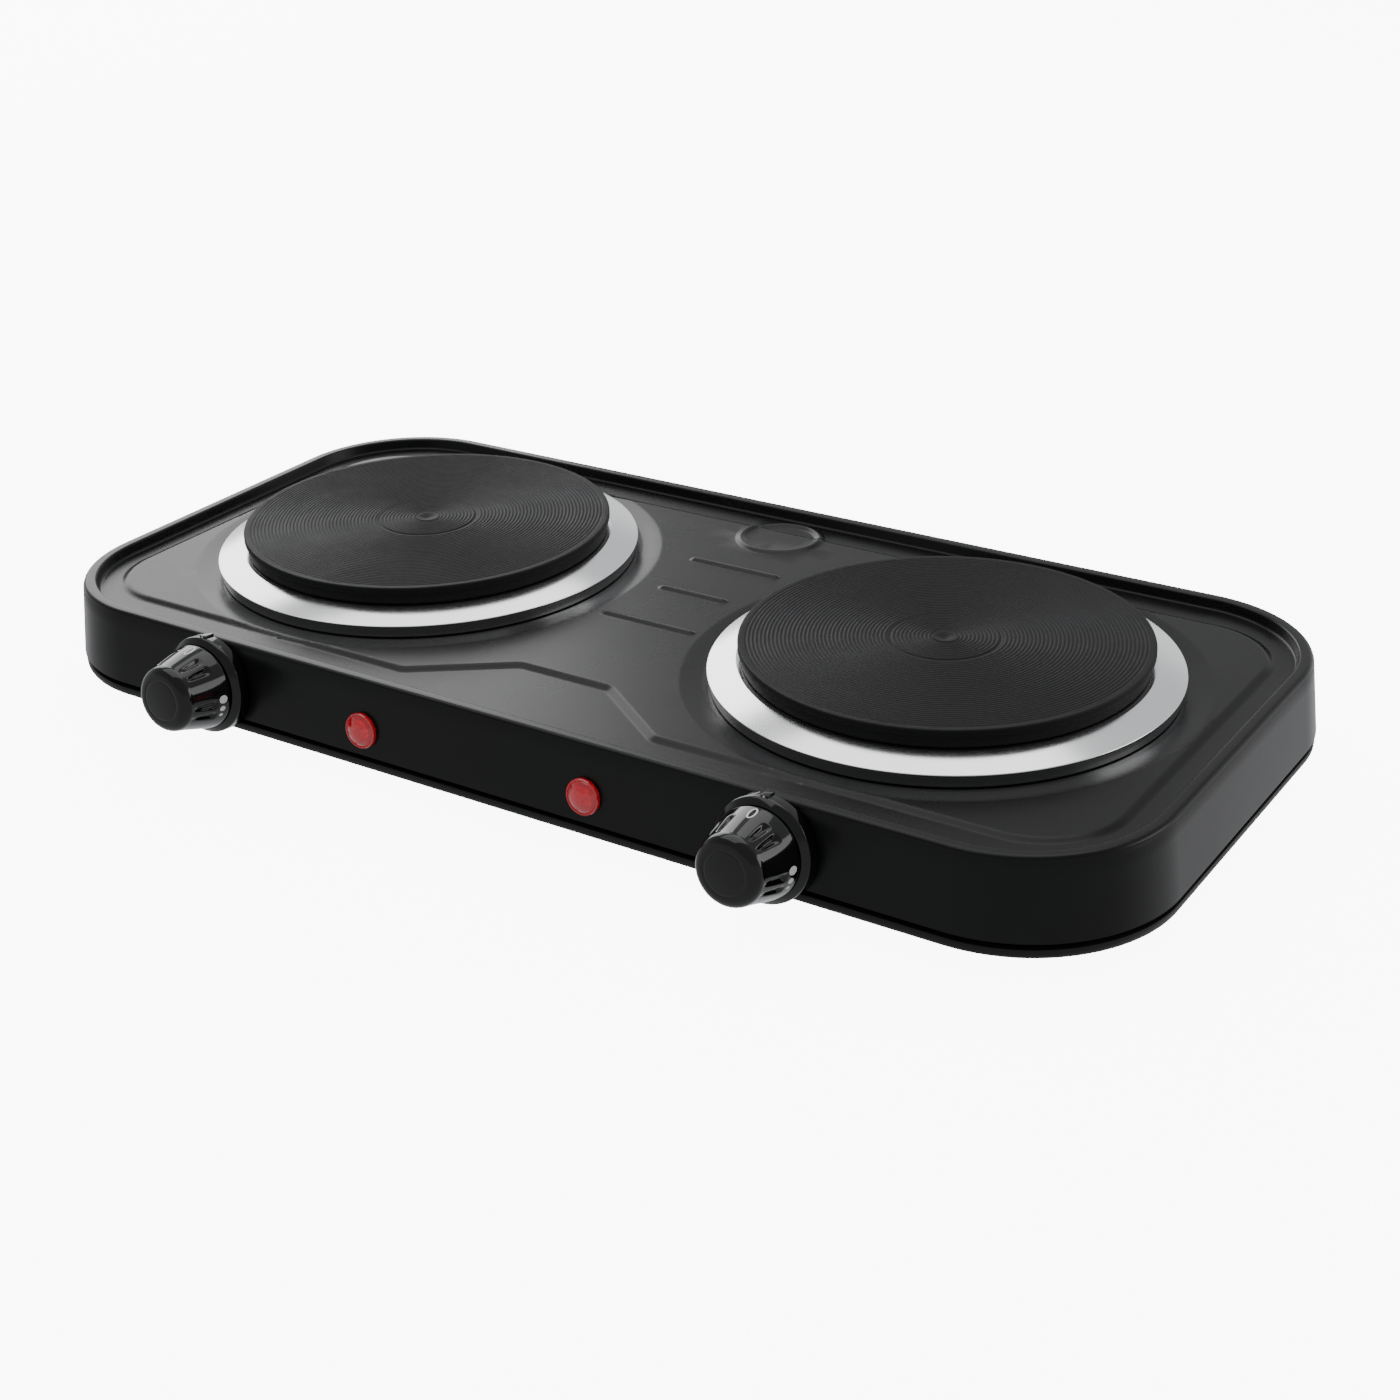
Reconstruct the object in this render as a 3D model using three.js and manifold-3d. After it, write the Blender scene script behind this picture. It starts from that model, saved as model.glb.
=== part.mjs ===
// Electric double hot plate: two cast-iron plates on a pressed-steel housing, with a rotary control and a lamp
// for each plate. Millimetres, +Z up, the controls face -Y, and the feet stand on z = 0.
import * as THREE from "three";
import { mergeVertices } from "three/addons/utils/BufferGeometryUtils.js";
import Module from "manifold-3d";

// Housing
const LENGTH = 484.2; // outline at the rim, along x
const DEPTH = 232; // outline at the rim, along y
const CORNER = 55.3; // corner radius at the rim
const WALL_DROP = 30.6; // rim top down to the housing's bottom edge
const FLARE = 3.5; // how far the wall leans out by its bottom edge
const SHEET = 1.2; // pressed sheet
const RIM_FILLET = 2;
const RIM_LAND = 3;
const RIM_DROP = 4.5; // rim top down to the gutter
const RIM_SLOPE = 1.5;
const BORDER_X = 16; // rim outline in to the border of the raised deck, at the ends
const BORDER_Y = 21; // the same at the front and the back
const BORDER_CORNER = 34;
const DECK_RISE = 1.3; // gutter up to the raised deck
const NOTCH_BASE = 116; // trapezoid notch in the deck's front border
const NOTCH_TOP = 41;
const NOTCH_DEPTH = 26;
const BEAD_RISE = 0.9; // embossed beads on the deck: three bars and a ring
const BEAD_WIDTH = 5;
const BAR_X = 0.7;
// Each bar's place along y, and its share of the room between the wells there.
const BAR_BEADS = [[-13.7, 0.6567], [18.7, 0.4919], [50, 0.4811]];
const RING_BEAD_RADIUS = 17;
const RING_BEAD_BACK = 27.5; // rim outline in to the ring's centre

// Base and feet
const FOOT_HEIGHT = 8;
const FOOT_RADIUS = 9.5;
const FOOT_NECK = 3; // radius of the foot's neck where it passes through the pan
const PAN_LIP = 4.6;
const SHADOW_GAP = 2; // between the pan's lip and the housing's edge
const PAN_UPSTAND = 4; // how far the pan's inner wall stands above its lip
const PAN_STEP = 5; // housing's bottom edge in to the pan's inner wall
const VENT_LENGTH = 54;
const VENT_WIDTH = 5;
const VENT_PITCH = 13;
const SCREW_SHANK = 1.8;
const SCREW_HEAD = 3.8;
const SCREW_IN = 12; // base screws, from the wall's outer face

// Plates and what holds them
const PLATE_DIAMETER = 155;
const PLATE_SPACING = 247.4;
const PLATE_Y = 3.1;
const PLATE_RISE = 12.4; // rim top up to the plate's cooking face
const PLATE_SIDE = 7.4; // height of the plate's side that stands above the trim ring
const PLATE_NECK = 3.7; // how far the plate steps in under its side
const PLATE_WALL = 4.3;
const PLATE_SKIRT = 8; // rim top down to the lower edge of the plate's skirt
const PLATE_BOSS = 8; // radius of the boss that the stud stands on
const STUD_RADIUS = 3;
const STUD_LENGTH = 15;
const TRIM_WIDTH = 11; // width of the trim ring's cone
const TRIM_FALL = 3.5;
const TRIM_SHEET = 1;
const WELL_BEVEL = 8.5;
const WELL_DROP = 4.2; // rim top down to the well's floor
const STRAP_WIDTH = 18;
const STRAP_THICKNESS = 2;
const TERMINAL_SIZE = [24, 14, 8.7];

// Controls and lamps, placed on the front wall
const FRONT_SHIFT = -8; // middle of the row of controls, from the housing's centre
const CONTROL_SPACING = 257.2;
const CONTROL_HEIGHT = 12.6; // housing's bottom edge up to the control's axis
const SHAFT_RADIUS = 3;
const KNOB_RADIUS = 17;
const KNOB_TIP_RADIUS = 13.3;
const KNOB_FACE_RADIUS = 8;
const KNOB_LENGTH = 20.7;
const KNOB_DOME = 4.5; // length of the rounded shoulder at the knob's front
const GRIP_PAIRS = 5; // pairs of finger grooves along the knob's cone
const GRIP_SPREAD = 19; // degrees between the two grooves of a pair
const GRIP_START = 6.5;
const GRIP_WIDTH = 3.6;
const GRIP_DEPTH = 1.3;
const BEZEL_RADIUS = 19.5;
const BEZEL_DEPTH = 7.5;
const LAMP_SPACING = 103.4;
const LAMP_HEIGHT = 10.6;
const LAMP_RADIUS = 7;
const LAMP_BARREL = 5;
const FIXING_SPACING = 22; // the control's two screws
const FIXING_SHANK = 1.6;
const FRAME_DEPTH = 18;
const STACK_RADIUS = 4.5;

// Supply
const GLAND_HEIGHT = 12.6;
const GLAND_BORE = 4.2;
const GLAND_WALL = 2.4; // wall of the bush where it passes through the housing
const BLOCK_SIZE = [42, 18, 14];
const WIRE_RADIUS = 1.2;

const ROUND_LARGE = 40; // sides of the plates, rings and wells
const ROUND_MEDIUM = 26;
const ROUND_SMALL = 12;

const GAP = 0.3; // clearance between pieces that rest on each other
const RUN = 0.5; // clearance round a screw or a foot's neck
const SNUG = 0.4; // clearance round the control's screws and the cord's bush

const HOUSING_EDGE = FOOT_HEIGHT + PAN_LIP + SHADOW_GAP;
const RIM_TOP = HOUSING_EDGE + WALL_DROP;
const PAN_LIP_TOP = FOOT_HEIGHT + PAN_LIP;
const PAN_TOP = PAN_LIP_TOP + PAN_UPSTAND;
const PAN_FLOOR = FOOT_HEIGHT + SHEET;
const PLATE_RADIUS = PLATE_DIAMETER / 2;
const TRIM_RADIUS = PLATE_RADIUS + 0.7 + TRIM_WIDTH;
const WELL_RADIUS = TRIM_RADIUS + 1.8;
const OPENING_RADIUS = TRIM_RADIUS - 6;
const LEAN = Math.atan(FLARE / WALL_DROP);
const SIDES = { left: -1, right: 1 };

const finish = (color, roughness, metalness) => new THREE.MeshStandardMaterial({ color, roughness, metalness });
const enamel = finish(0x24262a, 0.35, 0.2);
const panPaint = finish(0x0d0d0e, 0.5, 0.1);
const castIron = finish(0x2c2d30, 0.75, 0.4);
const polishedSteel = finish(0xd8dadc, 0.15, 1);
const plainSteel = finish(0xa4a6a8, 0.4, 1);
const glossPlastic = finish(0x050506, 0.12, 0);
const redLens = finish(0xb01820, 0.1, 0);
const clearGlass = finish(0xf2d9c8, 0.05, 0);
const ceramic = finish(0xe9e4d8, 0.6, 0);
const brass = finish(0xb98f45, 0.35, 1);
const bimetalAlloy = finish(0x8e8678, 0.35, 1);
const rubber = finish(0x141414, 0.9, 0);
const liveSleeve = finish(0x6b3a1e, 0.6, 0);
const neutralSleeve = finish(0x2b4c9c, 0.6, 0);
const earthSleeve = finish(0x6f9a2a, 0.6, 0);

const wasm = await Module();
wasm.setup();

// A closed geometry as a manifold solid, turned the right way out.
function solid(geometry) {
  const bare = geometry.index ? geometry.toNonIndexed() : geometry.clone();
  bare.deleteAttribute("normal");
  bare.deleteAttribute("uv");
  const merged = mergeVertices(bare, 1e-3);
  const build = (triVerts) =>
    new wasm.Manifold(
      new wasm.Mesh({ numProp: 3, vertProperties: merged.attributes.position.array, triVerts }),
    );
  const triVerts = new Uint32Array(merged.index.array);
  const made = build(triVerts);
  return made.volume() < 0 ? build(triVerts.slice().reverse()) : made;
}

function geometryOf(manifold) {
  const mesh = manifold.getMesh();
  const geometry = new THREE.BufferGeometry();
  geometry.setAttribute("position", new THREE.BufferAttribute(new Float32Array(mesh.vertProperties), mesh.numProp));
  geometry.setIndex(new THREE.BufferAttribute(new Uint32Array(mesh.triVerts), 1));
  return geometry;
}

function cut(body, ...cutters) {
  return cutters.reduce((left, cutter) => left.subtract(cutter), body);
}

// A solid of revolution about z, or about y where `about` says so. The profile is a list of [radius, height].
function lathe(profile, segments, about = "z") {
  const geometry = new THREE.LatheGeometry(
    profile.map(([r, h]) => new THREE.Vector2(r, h)),
    segments,
  );
  if (about === "z") geometry.rotateX(Math.PI / 2);
  return solid(geometry);
}

// The same, for a profile that closes on itself away from the axis.
const latheRing = (profile, segments, about) => lathe([...profile, profile[0]], segments, about);

const rod = (radius, low, high, segments, about) =>
  lathe([[0, low], [radius, low], [radius, high], [0, high]], segments, about);

const box = (x, y, z, at) => solid(new THREE.BoxGeometry(x, y, z).translate(...at));

// An outline of [x, y] points stretched from one height to another.
function prism(points, low, high) {
  const shape = new THREE.Shape(points.map(([x, y]) => new THREE.Vector2(x, y)));
  const geometry = new THREE.ExtrudeGeometry(shape, { depth: high - low, bevelEnabled: false });
  return solid(geometry.translate(0, 0, low));
}

// A straight bar with round ends, along x.
function stadium(length, width, x, y, low, high) {
  const r = width / 2;
  const half = length / 2 - r;
  const shape = new THREE.Shape();
  shape.absarc(half, 0, r, -Math.PI / 2, Math.PI / 2);
  shape.absarc(-half, 0, r, Math.PI / 2, (3 * Math.PI) / 2);
  const geometry = new THREE.ExtrudeGeometry(shape, { depth: high - low, bevelEnabled: false, curveSegments: 3 });
  return solid(geometry.translate(x, y, low));
}

const hexagon = (radius) =>
  Array.from({ length: 6 }, (_, i) => [radius * Math.cos((i * Math.PI) / 3), radius * Math.sin((i * Math.PI) / 3)]);

// A solid skinned over rings of equally many points, closed by a fan at each end.
function skin(rings) {
  const count = rings[0].length;
  const points = rings.flat();
  const faces = [];
  for (let ring = 0; ring + 1 < rings.length; ring += 1) {
    for (let i = 0; i < count; i += 1) {
      const a = ring * count + i;
      const b = ring * count + ((i + 1) % count);
      faces.push(a, b, b + count, a, b + count, a + count);
    }
  }
  for (const [start, flip] of [[0, true], [points.length - count, false]]) {
    const ring = points.slice(start, start + count);
    const centre = ring.reduce((sum, p) => sum.add(p), new THREE.Vector3()).divideScalar(count);
    const hub = points.push(centre) - 1;
    for (let i = 0; i < count; i += 1) {
      const a = start + i;
      const b = start + ((i + 1) % count);
      faces.push(...(flip ? [b, a, hub] : [a, b, hub]));
    }
  }
  const geometry = new THREE.BufferGeometry().setFromPoints(points);
  geometry.setIndex(faces);
  return solid(geometry);
}

// One ring of a rounded rectangle: the rim's outline drawn in by inset x and y, at height z.
function outline(insetX, insetY, corner, z) {
  const x = LENGTH / 2 - insetX;
  const y = DEPTH / 2 - insetY;
  const steps = 6;
  const ring = [];
  for (let quarter = 0; quarter < 4; quarter += 1) {
    const sx = quarter === 0 || quarter === 3 ? 1 : -1;
    const sy = quarter < 2 ? 1 : -1;
    for (let i = 0; i <= steps; i += 1) {
      const turn = ((quarter + i / steps) * Math.PI) / 2;
      ring.push(
        new THREE.Vector3(
          sx * (x - corner) + corner * Math.cos(turn),
          sy * (y - corner) + corner * Math.sin(turn),
          z,
        ),
      );
    }
  }
  return ring;
}

const inset = (by, z) => outline(by, by, CORNER - by, z);
const flareAt = (z) => (FLARE * (RIM_TOP - z)) / WALL_DROP;
const wallY = (z) => DEPTH / 2 + flareAt(z);

// A place on the front (-1) or the back (+1) wall, turned to lie flat on it. Its y axis is the wall's normal.
function wallPlace(x, height, facing) {
  const place = new THREE.Group();
  const z = HOUSING_EDGE + height;
  place.position.set(x, facing * wallY(z), z);
  place.rotation.x = facing * LEAN;
  place.updateMatrix();
  return place;
}

const controlPlace = (side) => wallPlace(FRONT_SHIFT + (side * CONTROL_SPACING) / 2, CONTROL_HEIGHT, -1);
const lampPlace = (side) => wallPlace(FRONT_SHIFT + (side * LAMP_SPACING) / 2, LAMP_HEIGHT, -1);
const glandPlace = () => wallPlace(0, GLAND_HEIGHT, 1);
const plateX = (side) => (side * PLATE_SPACING) / 2;
const atPlace = (manifold, place) => manifold.transform(place.matrix.elements);

const hotPlate = new THREE.Group();

function add(name, manifold, material, parent = hotPlate) {
  const mesh = new THREE.Mesh(geometryOf(manifold), material);
  mesh.name = name;
  parent.add(mesh);
  return mesh;
}

// Screws that hold the base: one near each end of the front and the back wall, each into a tab of the housing.
const SCREW_X = LENGTH / 2 - CORNER - 15;
const TAB_Z = HOUSING_EDGE + 3.4;
const TAB_LENGTH = 18;
const SCREW_Y = wallY(TAB_Z) - SCREW_IN;
const FOOT_X = LENGTH / 2 - 42;
const FOOT_Y = DEPTH / 2 - 38;
const corners = [
  ["front_left", -1, -1],
  ["front_right", 1, -1],
  ["rear_left", -1, 1],
  ["rear_right", 1, 1],
];

function deckNotch(low, high, grow) {
  const front = -(DEPTH / 2 - BORDER_Y) - 2;
  const back = front + 2 + NOTCH_DEPTH;
  return prism(
    [
      [-NOTCH_BASE / 2 - grow, front],
      [NOTCH_BASE / 2 + grow, front],
      [NOTCH_TOP / 2 + grow, back + grow],
      [-NOTCH_TOP / 2 - grow, back + grow],
    ],
    low,
    high,
  );
}

// The outer skin of the housing as a full block, and the space inside it.
function housingSkin() {
  const gutter = RIM_TOP - RIM_DROP;
  const deck = gutter + DECK_RISE;
  const land = RIM_FILLET + RIM_LAND;
  const border = (extra, z) => outline(BORDER_X + extra, BORDER_Y + extra, BORDER_CORNER - extra, z);
  const block = skin([
    inset(-FLARE, HOUSING_EDGE),
    inset(-flareAt(RIM_TOP - RIM_FILLET), RIM_TOP - RIM_FILLET),
    inset(RIM_FILLET * 0.3, RIM_TOP - RIM_FILLET * 0.3),
    inset(RIM_FILLET, RIM_TOP),
    inset(land, RIM_TOP),
    inset(land + RIM_SLOPE, gutter),
    border(0, gutter),
    border(1.5, deck),
  ]);
  const space = skin([
    inset(SHEET - FLARE - 0.1, HOUSING_EDGE - 1),
    inset(SHEET - flareAt(RIM_TOP - RIM_FILLET), RIM_TOP - RIM_FILLET),
    inset(RIM_FILLET, RIM_TOP - SHEET),
    inset(land - SHEET, RIM_TOP - SHEET),
    inset(land + RIM_SLOPE - SHEET, gutter - SHEET),
    border(0, gutter - SHEET),
    border(1.5, deck - SHEET),
  ]);
  const deckEdge = skin([inset(land + RIM_SLOPE, RIM_TOP - WALL_DROP), inset(land + RIM_SLOPE, RIM_TOP)]);
  return { block, space, deckEdge, gutter, deck };
}

function topHousing() {
  const { block, space, deckEdge, gutter, deck } = housingSkin();
  const floor = RIM_TOP - WELL_DROP;
  let shell = cut(block, deckNotch(gutter, RIM_TOP - RIM_DROP / 2, 0));
  let inside = cut(space, deckNotch(gutter - SHEET, RIM_TOP, SHEET));
  for (const side of Object.values(SIDES)) {
    const at = [plateX(side), PLATE_Y, 0];
    const bevel = (WELL_BEVEL * (RIM_TOP - floor)) / (deck - floor);
    const dish = lathe(
      [[0, floor], [WELL_RADIUS, floor], [WELL_RADIUS + bevel, RIM_TOP], [0, RIM_TOP]],
      ROUND_LARGE,
    );
    const backing = rod(WELL_RADIUS + WELL_BEVEL + SHEET, floor - SHEET, RIM_TOP, ROUND_LARGE);
    shell = cut(shell, dish.translate(at).intersect(deckEdge));
    inside = cut(inside, backing.translate(at));
    const opening = rod(OPENING_RADIUS, HOUSING_EDGE, RIM_TOP, ROUND_LARGE);
    shell = cut(shell, opening.translate(at));
  }
  const beadLow = deck - SHEET / 2;
  const beadTop = deck + BEAD_RISE;
  for (const [y, share] of BAR_BEADS) {
    const room = PLATE_SPACING - 2 * Math.sqrt(WELL_RADIUS ** 2 - (y - PLATE_Y) ** 2);
    shell = shell.add(stadium(room * share, BEAD_WIDTH, BAR_X, y, beadLow, beadTop));
  }
  const inner = RING_BEAD_RADIUS - BEAD_WIDTH / 2;
  const outer = RING_BEAD_RADIUS + BEAD_WIDTH / 2;
  const ringBead = latheRing(
    [[inner, beadLow], [outer, beadLow], [outer - 1, beadTop], [inner + 1, beadTop]],
    ROUND_MEDIUM,
  );
  shell = shell.add(ringBead.translate([0, DEPTH / 2 - RING_BEAD_BACK, 0]));
  shell = cut(shell, inside);
  for (const [, sx, sy] of corners) {
    const y = sy * (wallY(TAB_Z) - SHEET / 2 - TAB_LENGTH / 2);
    shell = shell.add(box(14, TAB_LENGTH, SHEET, [sx * SCREW_X, y, TAB_Z + SHEET / 2]));
    const hole = rod(SCREW_SHANK + RUN, TAB_Z - 1, TAB_Z + SHEET + 1, 10);
    shell = cut(shell, hole.translate([sx * SCREW_X, sy * SCREW_Y, 0]));
  }
  for (const side of Object.values(SIDES)) {
    const control = controlPlace(side);
    const screwHole = rod(FIXING_SHANK + SNUG, -4, 4, 10, "y");
    shell = cut(
      shell,
      atPlace(rod(SHAFT_RADIUS + 2, -4, 4, ROUND_SMALL, "y"), control),
      atPlace(screwHole.translate([-FIXING_SPACING / 2, 0, 0]), control),
      atPlace(screwHole.translate([FIXING_SPACING / 2, 0, 0]), control),
      atPlace(rod(LAMP_BARREL + 2 * GAP, -4, 4, 16, "y"), lampPlace(side)),
    );
  }
  return cut(shell, atPlace(rod(GLAND_BORE + GLAND_WALL + SNUG, -4, 4, 16, "y"), glandPlace()));
}

function basePan() {
  const tray = skin([
    inset(-FLARE + 3, FOOT_HEIGHT),
    inset(-FLARE + GAP, FOOT_HEIGHT + 2),
    inset(-FLARE + GAP, PAN_LIP_TOP),
    inset(-FLARE + PAN_STEP, PAN_LIP_TOP),
    inset(-FLARE + PAN_STEP, PAN_TOP),
  ]);
  const wall = -FLARE + PAN_STEP + SHEET;
  let pan = cut(tray, skin([inset(wall, PAN_FLOOR), inset(wall, PAN_TOP + 1)]));
  const through = (radius, x, y) => rod(radius, FOOT_HEIGHT - 1, PAN_FLOOR + 1, 12).translate([x, y, 0]);
  for (const [, sx, sy] of corners) {
    pan = cut(
      pan,
      through(FOOT_NECK + RUN, sx * FOOT_X, sy * FOOT_Y),
      through(SCREW_SHANK + RUN, sx * SCREW_X, sy * SCREW_Y),
    );
  }
  pan = cut(pan, through(SCREW_SHANK + RUN, EARTH_X, BLOCK_Y));
  for (const side of Object.values(SIDES)) {
    for (let row = -2; row <= 2; row += 1) {
      const y = PLATE_Y + row * VENT_PITCH;
      pan = cut(pan, stadium(VENT_LENGTH, VENT_WIDTH, plateX(side), y, FOOT_HEIGHT - 1, PAN_FLOOR + 1));
    }
  }
  return pan;
}

const BLOCK_Y = DEPTH / 2 - 32;
const EARTH_X = BLOCK_SIZE[0] / 2 + 25;

add("top_housing", topHousing(), enamel);
add("base_pan", basePan(), panPaint);

for (const [name, sx, sy] of corners) {
  const peg = PAN_FLOOR + GAP;
  const foot = lathe(
    [
      [0, 3],
      [4, 3],
      [4, 0],
      [FOOT_RADIUS - 1, 0],
      [FOOT_RADIUS, 1.2],
      [FOOT_RADIUS - 1, FOOT_HEIGHT - GAP],
      [FOOT_NECK, FOOT_HEIGHT - GAP],
      [FOOT_NECK, peg],
      [FOOT_NECK + 1.8, peg],
      [FOOT_NECK - 0.4, peg + 4],
      [0, peg + 4],
    ],
    ROUND_SMALL,
  );
  add(`foot_${name}`, foot.translate([sx * FOOT_X, sy * FOOT_Y, 0]), rubber);
  const head = FOOT_HEIGHT - GAP;
  const screw = cut(
    lathe(
      [
        [0, head - 2.3],
        [SCREW_HEAD - 1, head - 2.3],
        [SCREW_HEAD, head - 1.2],
        [SCREW_HEAD, head],
        [SCREW_SHANK, head],
        [SCREW_SHANK, TAB_Z + 2],
        [0.8, TAB_Z + 3.5],
        [0, TAB_Z + 3.5],
      ],
      10,
    ),
    box(4.4, 0.9, 1.2, [0, 0, head - 2.3]),
    box(0.9, 4.4, 1.2, [0, 0, head - 2.3]),
  );
  add(`base_screw_${name}`, screw.translate([sx * SCREW_X, sy * SCREW_Y, 0]), plainSteel);
}

// Cooking plates, each clamped down on its trim ring by a strap under the deck and a nut on the plate's stud.
const PLATE_UNDERSIDE = RIM_TOP - 3;
const COVER_Z = PLATE_UNDERSIDE - 3;
const STRAP_Z = RIM_TOP - PLATE_SKIRT - 5.5;
const TERMINAL_Y = PLATE_Y - PLATE_RADIUS * 0.49;

for (const [name, side] of Object.entries(SIDES)) {
  const at = [plateX(side), PLATE_Y, 0];
  const top = RIM_TOP + PLATE_RISE;
  const shoulder = top - PLATE_SIDE;
  const neck = PLATE_RADIUS - PLATE_NECK;
  const skirtEnd = RIM_TOP - PLATE_SKIRT;
  const plate = lathe(
    [
      [0, top],
      [PLATE_RADIUS - 3, top],
      [PLATE_RADIUS - 0.8, top - 0.9],
      [PLATE_RADIUS, top - 2.6],
      [PLATE_RADIUS, shoulder],
      [neck, shoulder],
      [neck, skirtEnd],
      [neck - PLATE_WALL, skirtEnd],
      [neck - PLATE_WALL, PLATE_UNDERSIDE],
      [PLATE_BOSS, PLATE_UNDERSIDE],
      [PLATE_BOSS, COVER_Z],
      [STUD_RADIUS, COVER_Z],
      [STUD_RADIUS, COVER_Z - STUD_LENGTH],
      [0, COVER_Z - STUD_LENGTH],
    ],
    ROUND_LARGE,
  );
  add(`${name}_plate`, plate.translate(at), castIron);

  const coverOut = neck - PLATE_WALL - RUN;
  const coverIn = PLATE_BOSS + RUN;
  const cover = latheRing(
    [[coverIn, COVER_Z], [coverOut, COVER_Z], [coverOut, COVER_Z + 1], [coverIn, COVER_Z + 1]],
    ROUND_MEDIUM,
  );
  add(`${name}_plate_cover`, cover.translate(at), plainSteel);

  const flange = shoulder - GAP;
  const edge = flange - TRIM_FALL;
  const skirtR = TRIM_RADIUS - 0.8;
  const trim = latheRing(
    [
      [neck + RUN, flange],
      [TRIM_RADIUS - TRIM_WIDTH, flange],
      [TRIM_RADIUS, edge],
      [TRIM_RADIUS, edge - 0.8],
      [skirtR, edge - 0.8],
      [skirtR, RIM_TOP - WELL_DROP + GAP],
      [skirtR - TRIM_SHEET, RIM_TOP - WELL_DROP + GAP],
      [skirtR - TRIM_SHEET, edge - 0.8],
      [TRIM_RADIUS - TRIM_WIDTH, flange - TRIM_SHEET],
      [neck + RUN, flange - TRIM_SHEET],
    ],
    ROUND_LARGE,
  );
  add(`${name}_trim_ring`, trim.translate(at), polishedSteel);

  const bear = RIM_TOP - WELL_DROP - SHEET - GAP;
  const reach = OPENING_RADIUS + 8;
  const t = STRAP_THICKNESS;
  const profile = [
    [-reach, bear],
    [-OPENING_RADIUS, bear],
    [-OPENING_RADIUS + 5, STRAP_Z + t],
    [OPENING_RADIUS - 5, STRAP_Z + t],
    [OPENING_RADIUS, bear],
    [reach, bear],
    [reach, bear - t],
    [OPENING_RADIUS + 1, bear - t],
    [OPENING_RADIUS - 4, STRAP_Z],
    [-OPENING_RADIUS + 4, STRAP_Z],
    [-OPENING_RADIUS - 1, bear - t],
    [-reach, bear - t],
  ];
  const strap = cut(
    prism(profile, -STRAP_WIDTH / 2, STRAP_WIDTH / 2).rotate([90, 0, 0]),
    rod(STUD_RADIUS + RUN, STRAP_Z - 5, STRAP_Z + 5, 16),
  );
  add(`${name}_clamp_strap`, strap.translate(at), plainSteel);

  const nut = cut(prism(hexagon(6), STRAP_Z - GAP - 4.5, STRAP_Z - GAP), rod(STUD_RADIUS + GAP, 0, RIM_TOP, 16));
  add(`${name}_plate_nut`, nut.translate(at), plainSteel);

  const [tx, ty, tz] = TERMINAL_SIZE;
  const terminal = cut(
    box(tx, ty, tz, [0, 0, COVER_Z - GAP - tz / 2]),
    box(2, ty + 2, tz / 2, [0, 0, COVER_Z - GAP - tz]),
  );
  add(`${name}_plate_terminal`, terminal.translate([plateX(side), TERMINAL_Y, 0]), ceramic);
}

// Controls: in a control's own frame y = 0 is the wall's outer face and -y is outwards.
const KNOB_BACK = BEZEL_DEPTH + 0.6;
const KNOB_FRONT = KNOB_BACK + KNOB_LENGTH;
const FRAME_Y = SHEET + GAP;
const STACK_X = 1 - FIXING_SPACING / 2; // the insulator stack, from the control's axis
// The frame fills the height between the pan's inner wall and the deck.
const ROOM_BELOW = HOUSING_EDGE + CONTROL_HEIGHT - PAN_TOP;
const ROOM_ABOVE = WALL_DROP - CONTROL_HEIGHT - RIM_DROP - SHEET;
const FRAME_HEIGHT = 2 * (Math.min(ROOM_BELOW, ROOM_ABOVE) - 3 * GAP);
const KNOB_SHOULDER = KNOB_FRONT - KNOB_DOME;
const coneRadius = (out) =>
  KNOB_RADIUS - ((KNOB_RADIUS - KNOB_TIP_RADIUS) * (out - KNOB_BACK)) / (KNOB_SHOULDER - KNOB_BACK);

function knob() {
  let body = lathe(
    [
      [0, -KNOB_BACK],
      [KNOB_RADIUS - 0.5, -KNOB_BACK],
      [KNOB_RADIUS, -KNOB_BACK - 0.6],
      [KNOB_TIP_RADIUS, -KNOB_SHOULDER],
      [KNOB_TIP_RADIUS - 1.4, -KNOB_SHOULDER - KNOB_DOME * 0.56],
      [(KNOB_TIP_RADIUS + KNOB_FACE_RADIUS) / 2 - 1, -KNOB_FRONT + 0.6],
      [KNOB_FACE_RADIUS, -KNOB_FRONT],
      [0, -KNOB_FRONT],
    ],
    ROUND_LARGE,
    "y",
  );
  const start = KNOB_BACK + GRIP_START;
  const slope = Math.atan((KNOB_RADIUS - KNOB_TIP_RADIUS) / (KNOB_SHOULDER - KNOB_BACK));
  const groove = lathe(
    [[0, 0], [GRIP_WIDTH / 2, 0], [GRIP_WIDTH / 4, start - KNOB_SHOULDER], [0, start - KNOB_SHOULDER]],
    8,
    "y",
  )
    .rotate([(slope * 180) / Math.PI, 0, 0])
    .translate([0, -start, coneRadius(start) + GRIP_WIDTH / 2 - GRIP_DEPTH]);
  for (let pair = 0; pair < GRIP_PAIRS; pair += 1) {
    for (const half of [-0.5, 0.5]) {
      const turn = ((pair + 0.5) * 360) / GRIP_PAIRS + half * GRIP_SPREAD;
      body = cut(body, groove.rotate([0, turn, 0]));
    }
  }
  const bore = rod(SHAFT_RADIUS + GAP, -KNOB_FRONT + 4, 0, 16, "y");
  const hollow = latheRing(
    [
      [SHAFT_RADIUS + 2.5, 0],
      [KNOB_RADIUS - 3.6, 0],
      [KNOB_RADIUS - 3.6, -KNOB_BACK - 2],
      [KNOB_TIP_RADIUS - 3.6, -KNOB_FRONT + 6],
      [SHAFT_RADIUS + 2.5, -KNOB_FRONT + 6],
    ],
    18,
    "y",
  );
  return cut(body, bore, hollow);
}

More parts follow.
